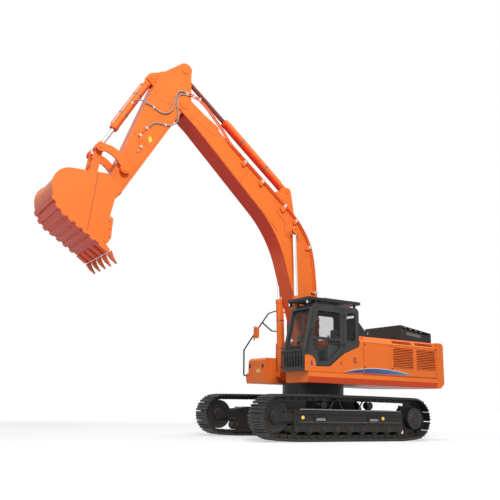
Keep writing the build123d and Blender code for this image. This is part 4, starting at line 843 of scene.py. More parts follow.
def makeSideFrameDetails(side, sign):
    face, body = sideFrame["faceY"] * sign, "undercarriage"
    steps, treads, recess, lights, hoops, ledges, guards = newBuilds(7)
    (wide, tall), rim, z = sideFrame["stepHalf"], sideFrame["rim"], sideFrame["stepZ"]
    for x in sideFrame["stepXs"]:
        levels = span(face, sign, 0, sideFrame["rimDepth"])
        for dx, dz, w, h in ((0, tall, wide + 0.02, rim), (0, -tall, wide + 0.02, rim),
                             (-wide - rim, 0, rim, tall), (wide + rim, 0, rim, tall)):
            addPatch(steps, x + dx - w, z + dz - h, x + dx + w, z + dz + h, levels)
        levels = span(face, sign, 0.001, sideFrame["treadDepth"])
        for i in range(sideFrame["teeth"]):
            middle = x + (i - 4) * sideFrame["toothPitch"]
            addPrism(treads, [(middle + dx, z + dz) for dx, dz in sideFrame["tooth"]], *levels)
        half, low, high = sideFrame["treadBar"]
        addPatch(treads, x - half, z + low, x + half, z + high, levels)
        # painted shade: a flat dark patch inside each step frame stands in for the shade in the step's opening
        addPatch(recess, x - wide, z - tall, x + wide, z + tall, span(face, sign, 0, sideFrame["recessDepth"]))
    newPiece(f"stepFrames.{side}", steps, "frameBlack", body, soften=0.003)
    newPiece(f"stepTreads.{side}", treads, "wearAndHighlightGrey", body, soften=0.001)
    newPiece(f"stepRecesses.{side}", recess, "recessShadeDark", body, flat=True)

    # painted glow: the reflectors shine by themselves, though they are no lamps
    r = sideFrame["reflectorRadius"]
    for x in sideFrame["reflectorXs"]:
        addTurned(lights, [(r, 0), (r, 0.010), (r * 0.8, 0.016), (0, 0.018)],
                  (x, face, sideFrame["reflectorZ"]), (0, sign, 0), 28)
    newPiece(f"reflectors.{side}", lights, "amberReflector", body)

    y, top, half = sign * sideFrame["hoopY"], sideFrame["hoopZ"], sideFrame["hoopHalf"]
    for x in sideFrame["hoopXs"]:
        route = [(x + half * a, y, top + sideFrame["hoopRise"] * b) for a, b in sideFrame["hoop"]]
        addTube(hoops, bendCorners(route, 0.06), sideFrame["hoopRadius"])
        for end in (x - half, x + half):
            addTurned(hoops, sideFrame["hoopFoot"], (end, y, top), (0, 0, 1), 16)
    newPiece(f"guideHoops.{side}", hoops, "frameBlack", body)

    xs, level, size = sideFrame["boltRow"]
    makeBolts(f"frameBolts.{side}", body, ([(x, face, level) for x in xs], (0, sign, 0), size),
              ([(x, face, z) for x, z in sideFrame["topBolts"]], (0, sign, 0), 0.016))

    # painted highlight: light grey ledges along the frame stand in for the bright lines where light catches its edges
    (x1, x2) = sideFrame["ledgeXs"]
    for z, deep in sideFrame["ledges"]:
        addPatch(ledges, x1, z - 0.010, x2, z + 0.010, span(face, sign, -0.001, deep))
    newPiece(f"frameLedgeHighlights.{side}", ledges, "wearAndHighlightGrey", body, soften=0.003)
    # a flat guard along the inner ends of the lower rollers
    addPatch(guards, *sideFrame["guard"], span(sign * sideFrame["guardY"], sign, 0, -sideFrame["guardThick"]))
    newPiece(f"rollerGuards.{side}", guards, "frameBlack", body, soften=0.003)


for side, sign in sides:
    makeSideFrameDetails(side, sign)
print("side frames dressed")

hoodSide = {
    "faceY": 1.475, "innerY": 1.445, "rim": 0.016, "overlap": 0.02,
    # name, body, sign and openings: rear, low, front, high
    "grilles": (
        ("left", "radiator_door", 1, ((-3.185, 1.885, -2.455, 2.430), (-2.335, 1.885, -1.585, 2.430))),
        ("right", "pump_door", -1, ((-3.080, 2.050, -2.420, 2.430),)),
    ),
    "shoulderFoot": (1.475, 2.500), "shoulderTop": (1.325, 2.665),
    "ventRuns": ((-3.195, -2.450), (-2.345, -1.595)),
    "ventBack": ((0.045, -0.031), (0.172, -0.031), (0.172, -0.036), (0.045, -0.036)),    # up and out
    # body, x, z
    "latches": (
        ("radiator_door", -1.545, 2.46), ("radiator_door", -1.545, 1.86), ("radiator_door", -3.205, 2.46),
        ("service_door_left", -0.590, 2.44), ("service_door_left", -0.590, 1.86),
    ),
    "latchRadius": 0.020, "latchSlot": (0.5, 0.003),
    "seam": (0.1825, 1.695, 0.1865, 2.075),
}


def makeGrilleTrim(name, body, sign, openings):
    backing, rims = newBuilds(2)
    rim, over = hoodSide["rim"], hoodSide["overlap"]
    behind = span(sign * (hoodSide["innerY"] - 0.010), sign, 0, 0.006)
    front = span(sign * hoodSide["faceY"], sign, -0.002, 0.005)
    for x1, z1, x2, z2 in openings:
        # painted shade: a dark brown sheet behind each opening stands in for the shade inside the grille
        addPatch(backing, x1 - over, z1 - over, x2 + over, z2 + over, behind)
        for bar in ((x1 - rim, z1 - rim, x2 + rim, z1), (x1 - rim, z1, x1, z2),
                    (x1 - rim, z2, x2 + rim, z2 + rim), (x2, z1, x2 + rim, z2)):
            addPatch(rims, *bar, front)
    newPiece(f"grilleBacking.{name}", backing, "recessShadeBrown", body, flat=True)
    newPiece(f"grilleRims.{name}", rims, "orangePaint", body, soften=0.002)


# painted shade: a dark orange sheet under the shoulder vents stands in for the shade inside them
def makeVentBacking():
    build = bmesh.new()
    foot, top = Vector(hoodSide["shoulderFoot"]), Vector(hoodSide["shoulderTop"])
    run = (top - foot).normalized()
    section = stripAt(foot, run, Vector((run.y, -run.x)), hoodSide["ventBack"])
    for rear, front in hoodSide["ventRuns"]:
        addPrism(build, section, rear, front, across="x")
    newPiece("ventBacking", build, "recessShadeOrange", "upper", flat=True)


def makeLatches():
    r, face = hoodSide["latchRadius"], hoodSide["faceY"]
    half, thin = hoodSide["latchSlot"]
    for i, (body, x, z) in enumerate(hoodSide["latches"]):
        build = bmesh.new()
        addTurned(build, [(r, -0.001), (r, 0.004), (r * 0.8, 0.006), (r * 0.7, 0.003), (0, 0.003)],
                  (x, face, z), (0, 1, 0), 20)
        addPatch(build, x - r * half, z - thin, x + r * half, z + thin, (face + 0.002, face + 0.008))
        newPiece(f"latch.{i}", build, "blackPaint", body)
    # painted shade: a flat dark brown strip stands in for the shade in the seam between panels
    seam = bmesh.new()
    addPatch(seam, *hoodSide["seam"], (face - 0.001, face + 0.001))
    newPiece("panelSeam", seam, "recessShadeBrown", "upper", flat=True)


pullPocket = {"middle": (-0.246, 2.009), "half": (0.062, 0.078), "skew": 0.02, "rim": 0.005}


# a pull pocket: an oval rim round a flat dark orange patch, painted shade that stands in for its sunk floor; its lever
# is one of the plates
def makePullPocket():
    rim, floor = newBuilds(2)
    y = hoodSide["faceY"]
    (x, z), (wide, tall) = pullPocket["middle"], pullPocket["half"]
    loop = [(x + wide * cos(a), z + tall * sin(a) + pullPocket["skew"] * cos(a)) for a in around(28)]
    addLoop(rim, loop, y, pullPocket["rim"])
    addPrism(floor, loop, y - 0.001, y + 0.0012)
    newPiece("pullRim", rim, "orangePaint", "upper")
    newPiece("pullFloor", floor, "recessShadeOrange", "upper", flat=True)


for row in hoodSide["grilles"]:
    makeGrilleTrim(*row)
makeVentBacking()
makeLatches()
makePullPocket()

crescent = {
    "tip": 0.14, "top": -0.98, "end": -2.25, "foot": 1.700, "rise": 0.130, "power": 1.9, "fall": 0.012,
    "edge": 0.014, "steps": 16,
    # body, front, rear: the stripe is cut where the panels part
    "parts": (("upper", 0.14, -0.533), ("service_door_left", -0.555, -1.495), ("radiator_door", -1.505, -2.25)),
}


def crescentFoot(x):
    return crescent["foot"] - crescent["fall"] * (x - crescent["top"])


def crescentHeight(x):
    side = crescent["tip"] if x > crescent["top"] else crescent["end"]
    t = abs((x - crescent["top"]) / (side - crescent["top"]))
    return crescentFoot(x) + crescent["rise"] * max(0, 1 - t ** crescent["power"])


def crescentRim(x):
    height = crescentHeight(x)
    return height + crescent["edge"] * min(1, (height - crescentFoot(x)) / 0.05 + 0.1)


def makeCrescent():
    y, steps = hoodSide["faceY"], crescent["steps"]
    for i, (body, front, rear) in enumerate(crescent["parts"]):
        xs = [front + (rear - front) * k / steps for k in range(steps + 1)]
        stripe, edge = newBuilds(2)
        upper = [(x, crescentHeight(x)) for x in xs]
        lower = [(x, crescentFoot(x) - 0.001) for x in reversed(xs)]
        addPrism(stripe, upper + lower, y - 0.001, y + 0.0012)
        addPrism(edge, upper + [(x, crescentRim(x)) for x in reversed(xs)], y - 0.001, y + 0.0012)
        newPiece(f"crescent.{i}", stripe, "stripeBlend", body, flat=True)
        newPiece(f"crescentEdge.{i}", edge, "trimWhite", body, flat=True)


makeCrescent()
print("hood side dressed")

# name, finish, body, outline, corner radius, low, high, what it lies across, and how its edges look
plates = (
    # slotLatch is painted shade: a flat dark patch standing in for the shade in a latch slot
    ("slotLatch", "recessShadeDark", "upper", rectangle(0.212, 1.865, 0.236, 1.955), 0.011, 1.474, 1.478, "y", {}),
    ("pullLever", "orangePaint", "upper", [(-0.268, 1.955), (-0.226, 1.970), (-0.230, 2.055), (-0.262, 2.048)],
     0.015, 1.475, 1.485, "y", {"soften": 0.003}),
    ("coverLabel", "labelDim", "upper", [(-3.02, 2.815), (-2.47, 2.865), (-2.47, 2.945), (-3.02, 2.895)],
     0.01, 1.099, 1.1015, "y", {"flat": True}),
    ("fenderLabel", "stripeDark", "upper", [(1.112, 1.812), (1.170, 1.812), (1.170, 1.930), (1.124, 1.930)],
     0.010, 1.4745, 1.4765, "y", {"flat": True}),
    ("toolBoxLabel", "labelYellow", "upper", rectangle(-1.018, 1.7005, -0.838, 1.7955),
     0.010, 1.199, 1.202, "x", {"flat": True}),
    ("mirrorGlass", "mirrorFace", "upper", rectangle(-1.412, 2.710, -1.246, 2.980), 0.030, 0.996, 1.001, "x", {}),
    ("cabMonitor", "cabPlastic", "upper", [(0.90, 2.44), (0.97, 2.46), (0.94, 2.62), (0.87, 2.60)],
     0.015, 0.60, 0.78, "y", {"soften": 0.004}),
    ("armLabel", "labelYellow", "arm", [(5.225, 7.178), (5.300, 7.130), (5.345, 7.250), (5.270, 7.300)],
     0.008, 0.2575, 0.2595, "y", {"flat": True}),
)
for name, finish, body, outline, corner, low, high, across, look in plates:
    makePlate(name, finish, body, outline, corner, low, high, across, **look)

# name, body, and rows of places, a direction and a size
boltTable = (
    ("coverBolts", "upper",
     ([(x, 1.10, 2.685) for x in (-3.40, -3.0, -2.6, -2.30)], (0, 1, 0), 0.014),
     ([(x, -0.40, 2.685) for x in (-3.40, -3.0, -2.6, -2.30)], (0, -1, 0), 0.014),
     ([(-2.25, y, 2.69) for y in (-0.3, 0.1, 0.6, 1.0)], (1, 0, 0), 0.014)),
    ("guardBolts", "upper",
     ([(x, y, 3.540) for x, y in ((0.60, 1.40), (0.34, 1.40), (0.06, 1.40), (-0.24, 1.40), (-0.44, 0.98),
                                  (0.60, 0.56), (0.06, 0.56), (-0.44, 0.56))], (0, 0, 1), 0.024)),
    ("frontGuardBolts", "upper",
     ([(1.425, y, z) for y in (0.56, 0.75, 1.0, 1.25, 1.46) for z in (1.741, 2.180)], (1, 0, 0), 0.010)),
    ("hingeBolts", "cab_door",
     ([(0.150, 1.468, z) for z in (2.374, 2.406, 3.124, 3.156)], (0, 1, 0), 0.008)),
    ("cutterBolts", "bucket",
     *[([(x, sign * 0.819, z) for x, z in ((6.330, 4.400), (6.340, 4.590), (6.330, 4.780))], (0, sign, 0), 0.022)
       for sign in (-1, 1)]),
)
for row in boltTable:
    makeBolts(*row)
print("plates and bolts made")

rearCover = {
    "face": 1.10, "ribs": 5, "ribLow": 2.70, "ribPitch": 0.045, "ribDepth": 0.012,
    "rib": ((-3.43, 0), (-3.16, 0.012), (-3.16, 0.030), (-3.43, 0.018)),
    # start, end, radius
    "struts": (((-1.15, 1.02, 2.668), (-0.93, 1.02, 2.86), 0.010), ((-0.98, 1.02, 2.668), (-1.11, 1.02, 2.82), 0.008)),
}


def makeRearCoverDetails():
    ribs, strut = newBuilds(2)
    y = rearCover["face"]
    for i in range(rearCover["ribs"]):
        low = rearCover["ribLow"] + i * rearCover["ribPitch"]
        addPrism(ribs, [(x, low + z) for x, z in rearCover["rib"]], y, y + rearCover["ribDepth"])
    newPiece("coverRibs", ribs, "blackPaint", "upper", soften=0.003)
    for row in rearCover["struts"]:
        addBar(strut, *row)
    newPiece("lidStrut", strut, "zincSteel", "upper")


roofGuard = {
    "lampX": 1.218, "lampZ": 3.408, "lampYs": (0.582, 1.378), "lampRadius": 0.050,
    # share of the radius, and distance out
    "bezel": ((1.02, -0.020), (1.1, 0.0), (1.1, 0.012), (0.9, 0.014), (0.86, 0.002)),
    "lens": ((0.88, 0.002), (0.7, 0.009), (0.35, 0.012), (0, 0.013)),
    # low and high corners
    "longStrips": [((-0.47, y - 0.012, 3.540), (0.74, y + 0.012, 3.552)) for y in (0.535, 1.425)],
    "crossStrips": [((x - 0.012, 0.53, 3.541), (x + 0.012, 1.43, 3.551)) for x in (-0.46, 0.15, 0.72)],
}


def makeRoofDetails():
    bezels, lenses, strips = newBuilds(3)
    r = roofGuard["lampRadius"]
    for y in roofGuard["lampYs"]:
        for build, key in ((bezels, "bezel"), (lenses, "lens")):
            profile = [(r * share, out) for share, out in roofGuard[key]]
            addTurned(build, profile, (roofGuard["lampX"], y, roofGuard["lampZ"]), (1, 0, 0), 28)
    newPiece("lampBezels", bezels, "blackPaint", "upper")
    newPiece("lampLenses", lenses, "lampLens", "upper")
    for low, high in roofGuard["longStrips"] + roofGuard["crossStrips"]:
        addBox(strips, low, high)
    newPiece("guardStrips", strips, "blackPaint", "upper", soften=0.003)


makeRearCoverDetails()
makeRoofDetails()

cab = {
    "left": 1.440, "right": 0.520,
    "windscreenFoot": (1.370, 2.120), "windscreenTop": (1.110, 3.290), "screenLevels": (2.190, 3.250),
    "screenInset": 0.09, "screenBead": 0.012,
    # window's outline and corner radius
    "upperDoor": (((0.200, 2.533), (1.108, 2.533), (0.942, 3.210), (0.200, 3.210)), 0.07),
    "lowerDoor": (((0.200, 2.477), (0.200, 2.300), (0.440, 2.055), (0.665, 1.930), (0.900, 1.930),
                   (0.930, 2.180), (1.080, 2.260), (1.110, 2.477)), 0.04),
    "rearWindow": (rectangle(-0.310, 2.500, 0.000, 3.230), 0.07),
    "rightWindow": (((-0.310, 2.350), (1.189, 2.350), (0.980, 3.230), (-0.310, 3.230)), 0.07),
    "beadRadius": 0.011, "beadDepth": 0.004,
}


def screenX(z):
    (x1, z1), (x2, z2) = cab["windscreenFoot"], cab["windscreenTop"]
    return x1 + (x2 - x1) * (z - z1) / (z2 - z1)


def makeCabSeals():
    door, body = newBuilds(2)
    left, right = cab["left"] - cab["beadDepth"], cab["right"] + cab["beadDepth"]
    for build, key, level in ((door, "upperDoor", left), (door, "lowerDoor", left),
                              (body, "rearWindow", left), (body, "rightWindow", right)):
        addLoop(build, roundedOutline(*cab[key]), level, cab["beadRadius"])
    newPiece("doorSeals", door, "rubberBlack", "cab_door")
    low, high = cab["screenLevels"]
    spots = rectangle(cab["right"] + cab["screenInset"], low, cab["left"] - cab["screenInset"], high)
    loop = [Vector((screenX(z), y, z)) for y, z in spots]
    addTube(body, bendCorners(loop + loop[:1], 0.05), cab["screenBead"], 8)
    addTube(body, loop[:2], cab["screenBead"], 8)
    newPiece("cabSeals", body, "rubberBlack", "upper")


# places are (y, z) on the windscreen
wiper = {
    "pivot": (1.30, 2.24), "tip": (1.18, 2.92), "armLift": 0.018, "armRadius": 0.007,
    "hub": ((0.022, -0.01), (0.022, 0.012), (0.012, 0.020), (0, 0.022)),
    "blade": ((1.26, 2.55), (1.15, 3.12)), "bladeLift": 0.006, "bladeRadius": 0.009,
}


def onScreen(point, lift):
    y, z = point
    return Vector((screenX(z) + lift, y, z))


def makeWiper():
    build = bmesh.new()
    pivot, tip = (onScreen(wiper[key], wiper["armLift"]) for key in ("pivot", "tip"))
    addTurned(build, wiper["hub"], pivot, (1, 0, 0.2), 16)
    addBar(build, pivot, tip, wiper["armRadius"], 10)
    addBar(build, *[onScreen(p, wiper["bladeLift"]) for p in wiper["blade"]], wiper["bladeRadius"], 8)
    newPiece("wiper", build, "blackPaint", "upper")


doorFittings = {
    "plate": (rectangle(0.965, 2.330, 1.085, 2.430), 0.02),
    "lever": ([(0.985, 2.360), (1.070, 2.366), (1.070, 2.392), (0.985, 2.398)], 0.012),
    "leverFoot": (1.040, 2.366, 1.066, 2.392),
    "lock": (1.0, 2.346), "lockProfile": ((0.010, 0), (0.010, 0.009), (0, 0.010)),
    "slide": (0.205, 2.500, 1.10, 2.512),
}


def makeDoorFittings():
    build, rail = newBuilds(2)
    face = cab["left"]
    addPrism(build, roundedOutline(*doorFittings["plate"]), face, face + 0.006)
    addPrism(build, roundedOutline(*doorFittings["lever"]), face + 0.012, face + 0.024)
    addPatch(build, *doorFittings["leverFoot"], (face + 0.004, face + 0.014))
    x, z = doorFittings["lock"]
    addTurned(build, doorFittings["lockProfile"], (x, face + 0.004, z), (0, 1, 0), 14)
    newPiece("doorHandle", build, "rubberBlack", "cab_door", soften=0.002)
    addPatch(rail, *doorFittings["slide"], (face - 0.045, face - 0.030))
    newPiece("windowSlide", rail, "zincSteel", "cab_door", soften=0.002)


fender = {"rear": 1.019, "radius": 0.225, "spring": 1.842, "foot": 1.80, "front": (1.270, 2.067), "level": 1.474}


def makeFenderRim():
    rim = bmesh.new()
    r, middle = fender["radius"], fender["rear"] + fender["radius"]
    quarter = [pi / 2 * i / 12 for i in range(13)]
    route = [(fender["rear"], fender["foot"])]
    route += [(middle - r * cos(a), fender["spring"] + r * sin(a)) for a in quarter] + [fender["front"]]
    addTube(rim, [(x, fender["level"], z) for x, z in route], 0.006, 8)
    newPiece("fenderRim", rim, "orangePaint", "upper")


makeCabSeals()
makeWiper()
makeDoorFittings()
makeFenderRim()
print("cab dressed")

toolBox = {
    "front": 1.200, "latches": ((-1.365, 1.893), (-0.684, 1.881)),
    # half width, low, high, corner, and how far it stands out
    "plates": ((0.035, -0.060, 0.045, 0.012, 0, 0.012), (0.015, -0.045, 0.020, 0.008, 0.010, 0.026)),
}


def makeToolBoxDetails():
    build, face = bmesh.new(), toolBox["front"]
    for y, z in toolBox["latches"]:
        for half, low, high, corner, near, far in toolBox["plates"]:
            outline = roundedOutline(rectangle(y - half, z + low, y + half, z + high), corner)
            addPrism(build, outline, face + near, face + far, across="x")
    newPiece("toolBoxLatches", build, "blackPaint", "upper", soften=0.003)


mirror = {
    "bracket": ((1.035, -1.445, 2.62), (1.035, -1.462, 2.72), (1.035, -1.462, 3.02), (1.035, -1.40, 3.03)),
    "boss": (1.035, -1.445, 2.66),
}


def makeMirrorDetails():
    bracket = bmesh.new()
    addTube(bracket, bendCorners(mirror["bracket"], 0.03), 0.010, 10)
    addTurned(bracket, [(0.020, -0.02), (0.020, 0.02)], mirror["boss"], (0, 0, 1), 14)
    newPiece("mirrorBracket", bracket, "blackPaint", "upper")


deck = {
    "sill": ((1.245, 1.668), (1.245, 1.682), (-3.20, 1.682), (-3.20, 1.668)), "sillY": 1.470, "sillHalf": 0.010,
    # place, and profile of (radius, height)
    "caps": (((-0.12, -1.02, 2.600), ((0.075, -0.004), (0.075, 0.040), (0.062, 0.052), (0, 0.054))),
             ((-0.75, -1.15, 2.665), ((0.060, -0.004), (0.060, 0.030), (0.050, 0.040), (0, 0.042)))),
    "lampYs": (-0.95, 0.95), "lampHalf": 0.11, "lampZs": (2.26, 2.34), "rearRadius": 3.804,
    "handleX": -1.62, "handleYs": (-0.35, 0.35), "handleHalf": 0.09, "handleZs": (2.690, 2.735),
}


def makeDeckDetails():
    band, caps, lamps, handles = newBuilds(4)
    for _, sign in sides:
        addPrism(band, deck["sill"], *span(sign * deck["sillY"], sign, -deck["sillHalf"], deck["sillHalf"]))
    newPiece("deckSill", band, "orangePaint", "upper", soften=0.003)
    for place, profile in deck["caps"]:
        addTurned(caps, profile, place, (0, 0, 1), 26)
    newPiece("tankCaps", caps, "blackPaint", "upper")
    half, (low, high) = deck["lampHalf"], deck["lampZs"]
    for y in deck["lampYs"]:
        rear = -sqrt(deck["rearRadius"] ** 2 - (abs(y) - half) ** 2)
        addPrism(lamps, roundedOutline(rectangle(y - half, low, y + half, high), 0.02), rear, rear + 0.03, across="x")
    newPiece("rearLamps", lamps, "redLens", "upper", soften=0.004)
    x, half, (low, high) = deck["handleX"], deck["handleHalf"], deck["handleZs"]
    for y in deck["handleYs"]:
        route = [(x, y - half, low), (x, y - half, high), (x, y + half, high), (x, y + half, low)]
        addTube(handles, bendCorners(route, 0.025), 0.010, 10)
    newPiece("lidHandles", handles, "blackPaint", "engine_lid")


makeToolBoxDetails()
makeMirrorDetails()
makeDeckDetails()
print("deck dressed")

seat = {
    # low, high, lean, places of the seams, axis that the seams lie across
    "pads": {
        "seatCushion": ((0.040, 0.742, 2.122), (0.530, 1.218, 2.226), 0, (0.18, 0.34), 0),
        "seatBack": ((-0.040, 0.748, 2.236), (0.060, 1.212, 2.840), 0.10, (2.40, 2.56, 2.72), 2),
    },
    "voxel": 0.009, "pressure": 4, "frames": 20, "swell": 0.012,
    "seamDepth": 0.007, "seamHalf": 0.012, "fill": 0.7,
    # low and high corners of the base's plates
    "plates": [((0.27 - half, 0.98 - half, z), (0.27 + half, 0.98 + half, z + 0.045))
               for z, half in ((1.750, 0.16), (2.040, 0.20))],
    "tray": ((0.06, 0.76, 2.085), (0.50, 1.20, 2.118)),
    "folds": 9, "foldLow": 1.795, "foldPitch": 0.0272, "foldDepth": 0.012,
    "armYs": (0.745, 1.215), "arm": ((0.02, 2.20), (-0.05, 2.36), (-0.02, 2.395), (0.30, 2.395)),
}


def applyModifiers(obj):
    graph = bpy.context.evaluated_depsgraph_get()
    mesh = bpy.data.meshes.new_from_object(obj.evaluated_get(graph))
    obj.modifiers.clear()
    obj.data = mesh


def blowUp(obj):
    cloth = obj.modifiers.new("cloth", "CLOTH")
    cloth.settings.use_pressure = True
    cloth.settings.uniform_pressure_force = seat["pressure"]
    cloth.settings.effector_weights.gravity = 0
    cloth.settings.quality = 4
    for frameNumber in range(1, seat["frames"] + 1):
        bpy.context.scene.frame_set(frameNumber)
    applyModifiers(obj)
    bpy.context.scene.frame_set(1)


# a rounded block of upholstery, leaned back by a shear, then blown up as cloth
def makePad(name, low, high, lean, seams, seamAxis):
    build = bmesh.new()
    bmesh.ops.create_cube(build, size=1)
    size, middle = Vector(high) - Vector(low), (Vector(high) + Vector(low)) / 2
    bmesh.ops.scale(build, vec=size, verts=build.verts)
    bmesh.ops.translate(build, vec=middle, verts=build.verts)
    bmesh.ops.bevel(build, geom=build.edges[:], offset=min(size) * 0.36, segments=4, profile=0.6, affect="EDGES")
    for v in build.verts:
        v.co.x -= lean * (v.co.z - low[2])
    obj = meshObject(name, build, "seatCloth")
    remesh = obj.modifiers.new("remesh", "REMESH")
    remesh.mode = "VOXEL"
    remesh.voxel_size = seat["voxel"]
    applyModifiers(obj)
    rest = [v.co.copy() for v in obj.data.vertices]
    blowUp(obj)
    for vertex, start in zip(obj.data.vertices, rest):
        moved = vertex.co - start
        if moved.length > seat["swell"]:
            vertex.co = start + moved.normalized() * seat["swell"]
        along = start[seamAxis] + (lean * (start.z - low[2]) if seamAxis == 0 else 0)
        for seam in seams:
            depth = seat["seamDepth"] * max(0, 1 - abs(along - seam) / seat["seamHalf"])
            vertex.co += (middle - start).normalized() * depth
    smooth = obj.modifiers.new("smooth", "SUBSURF")
    smooth.levels = smooth.render_levels = 1
    obj.data.shade_smooth()
    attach(obj, "upper")
    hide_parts("operator_seat")


def makeSeat():
    for name, row in seat["pads"].items():
        makePad(name, *row)
    base, arms = newBuilds(2)
    for low, high in seat["plates"]:
        addBox(base, low, high)
    for i in range(seat["folds"]):
        inset = seat["foldDepth"] * (i % 2)
        z = seat["foldLow"] + i * seat["foldPitch"]
        addBox(base, (0.13 + inset, 0.83 + inset, z), (0.41 - inset, 1.13 - inset, z + seat["foldPitch"]))
    addBox(base, *seat["tray"])
    newPiece("seatBase", base, "cabPlastic", "upper", soften=0.006, replaced=("operator_seat",))
    for y in seat["armYs"]:
        addTube(arms, bendCorners([(x, y, z) for x, z in seat["arm"]], 0.05), 0.016, 10)
    newPiece("seatArms", arms, "cabPlastic", "upper", replaced=("operator_seat",))


# profiles are of (radius, height)
levers = {
    "ys": (0.66, 1.30), "foot": (0.47, 2.350), "top": (0.48, 2.50), "knob": (0.48, 2.49), "radius": 0.010,
    "gaiter": ((0.050, 0.0), (0.044, 0.02), (0.030, 0.06), (0.014, 0.08)),
    "knobProfile": ((0.018, 0.0), (0.027, 0.03), (0.027, 0.09), (0.018, 0.12), (0, 0.125)),
    "pedalYs": (0.90, 1.06), "pedal": (0.98, 1.76, 1.14, 1.79), "pedalHalf": 0.045,
    "stick": ((1.02, 1.78), (0.96, 2.14)), "stickRadius": 0.011, "ball": (0.96, 2.13),
    "ballProfile": ((0.020, 0.0), (0.026, 0.03), (0, 0.05)),
}


def makeCabInside():
    sticks, knobs = newBuilds(2)

    def at(key, y):
        return (levers[key][0], y, levers[key][1])

    for y in levers["ys"]:
        addTurned(sticks, levers["gaiter"], at("foot", y), (0, 0, 1), 18)
        addBar(sticks, Vector(at("foot", y)) + Vector((0, 0, 0.01)), at("top", y), levers["radius"], 10)
        addTurned(knobs, levers["knobProfile"], at("knob", y), (0.1, 0, 1), 16)
    for y in levers["pedalYs"]:
        addPatch(sticks, *levers["pedal"], (y - levers["pedalHalf"], y + levers["pedalHalf"]))
        addBar(sticks, *[(x, y, z) for x, z in levers["stick"]], levers["stickRadius"], 10)
        addTurned(knobs, levers["ballProfile"], at("ball", y), (0, 0, 1), 14)
    newPiece("cabLevers", sticks, "cabPlastic", "upper")
    newPiece("leverKnobs", knobs, "rubberBlack", "upper")


makeSeat()
makeCabInside()
print("cab furnished")

cylinders = {
    # eye of the barrel, eye of the rod, levels across, radius and length of the barrel
    "boom": ((0.78, 1.62), (0.97, 5.50), (-0.405, 0.405), 0.095, 2.09),
    "arm": ((1.01, 6.71), (4.42, 9.39), (0.0,), 0.112, 2.64),
    "bucket": ((5.28, 8.975), (6.545, 6.685), (0.0,), 0.098, 1.85),
}
# hoops are of (share of the radius, distance along the barrel)
cylinderTrim = {
    "gland": ((1.005, -0.125), (1.09, -0.120), (1.09, -0.020), (1.02, -0.012)),      # from the barrel's end
    "collar": ((1.004, 0.235), (1.04, 0.240), (1.04, 0.258), (1.004, 0.263)),
    "band": ((1.005, -0.018), (1.035, -0.016), (1.035, 0.016), (1.005, 0.018)),
    "bandPlaces": (0.35, 0.72),
    "glandBolts": 10, "boltCircle": 0.80, "boltSize": 0.012,
    "pipeRadius": 0.014, "pipeLift": 0.030, "pipeStart": 0.30, "pipeEnd": 0.09,
    "boss": ((0.028, 0.0), (0.028, 0.020), (0.020, 0.026)), "clip": ((0.019, -0.016), (0.019, 0.016)),
}


def makeCylinderTrim(name, foot, tip, levels, radius, length):
    trim = cylinderTrim
    glands, pipes, bands = newBuilds(3)
    start = Vector(foot)
    along = (Vector(tip) - start).normalized()
    across = Vector((-along.y, along.x))
    direction, out = Vector((along.x, 0, along.y)), Vector((across.x, 0, across.y))
    for level in levels:

        def at(distance, lift=0.0):
            flat = start + along * distance + across * lift
            return Vector((flat.x, level, flat.y))

        def addHoop(build, key, distance):
            profile = [(radius * share, distance + place) for share, place in trim[key]]
            addTurned(build, profile, at(0), direction, 32, hoop=True)

        addHoop(glands, "gland", length)
        for a in around(trim["glandBolts"]):
            side = Vector((0, 1, 0)) * cos(a) + out * sin(a)
            place = at(length) + side * radius * trim["boltCircle"] - direction * 0.002
            addBolt(bands, place, direction, trim["boltSize"])
        addHoop(glands, "collar", 0)
        lift, near, far = radius + trim["pipeLift"], trim["pipeStart"], length - trim["pipeEnd"]
        route = [at(near, radius * 0.98), at(near, lift), at(near + 0.12, lift), at(far - 0.07, lift),
                 at(far, lift), at(far, radius * 0.98)]
        addTube(pipes, bendCorners(route, 0.035), trim["pipeRadius"], 10)
        addTurned(pipes, trim["boss"], at(near, radius * 0.985), out, 14)
        for share in trim["bandPlaces"]:
            addHoop(bands, "band", length * share)
            addTurned(bands, trim["clip"], at(length * share, lift), direction, 14)
    body = f"{name}_cylinder_tube"
    newPiece(f"{name}CylinderGlands", glands, "orangePaint", body)
    newPiece(f"{name}CylinderPipes", pipes, "orangePaint", body, soften=0.002)
    newPiece(f"{name}CylinderClamps", bands, "boltSteel", body)


for name, row in cylinders.items():
    makeCylinderTrim(name, *row)
print("cylinders trimmed")

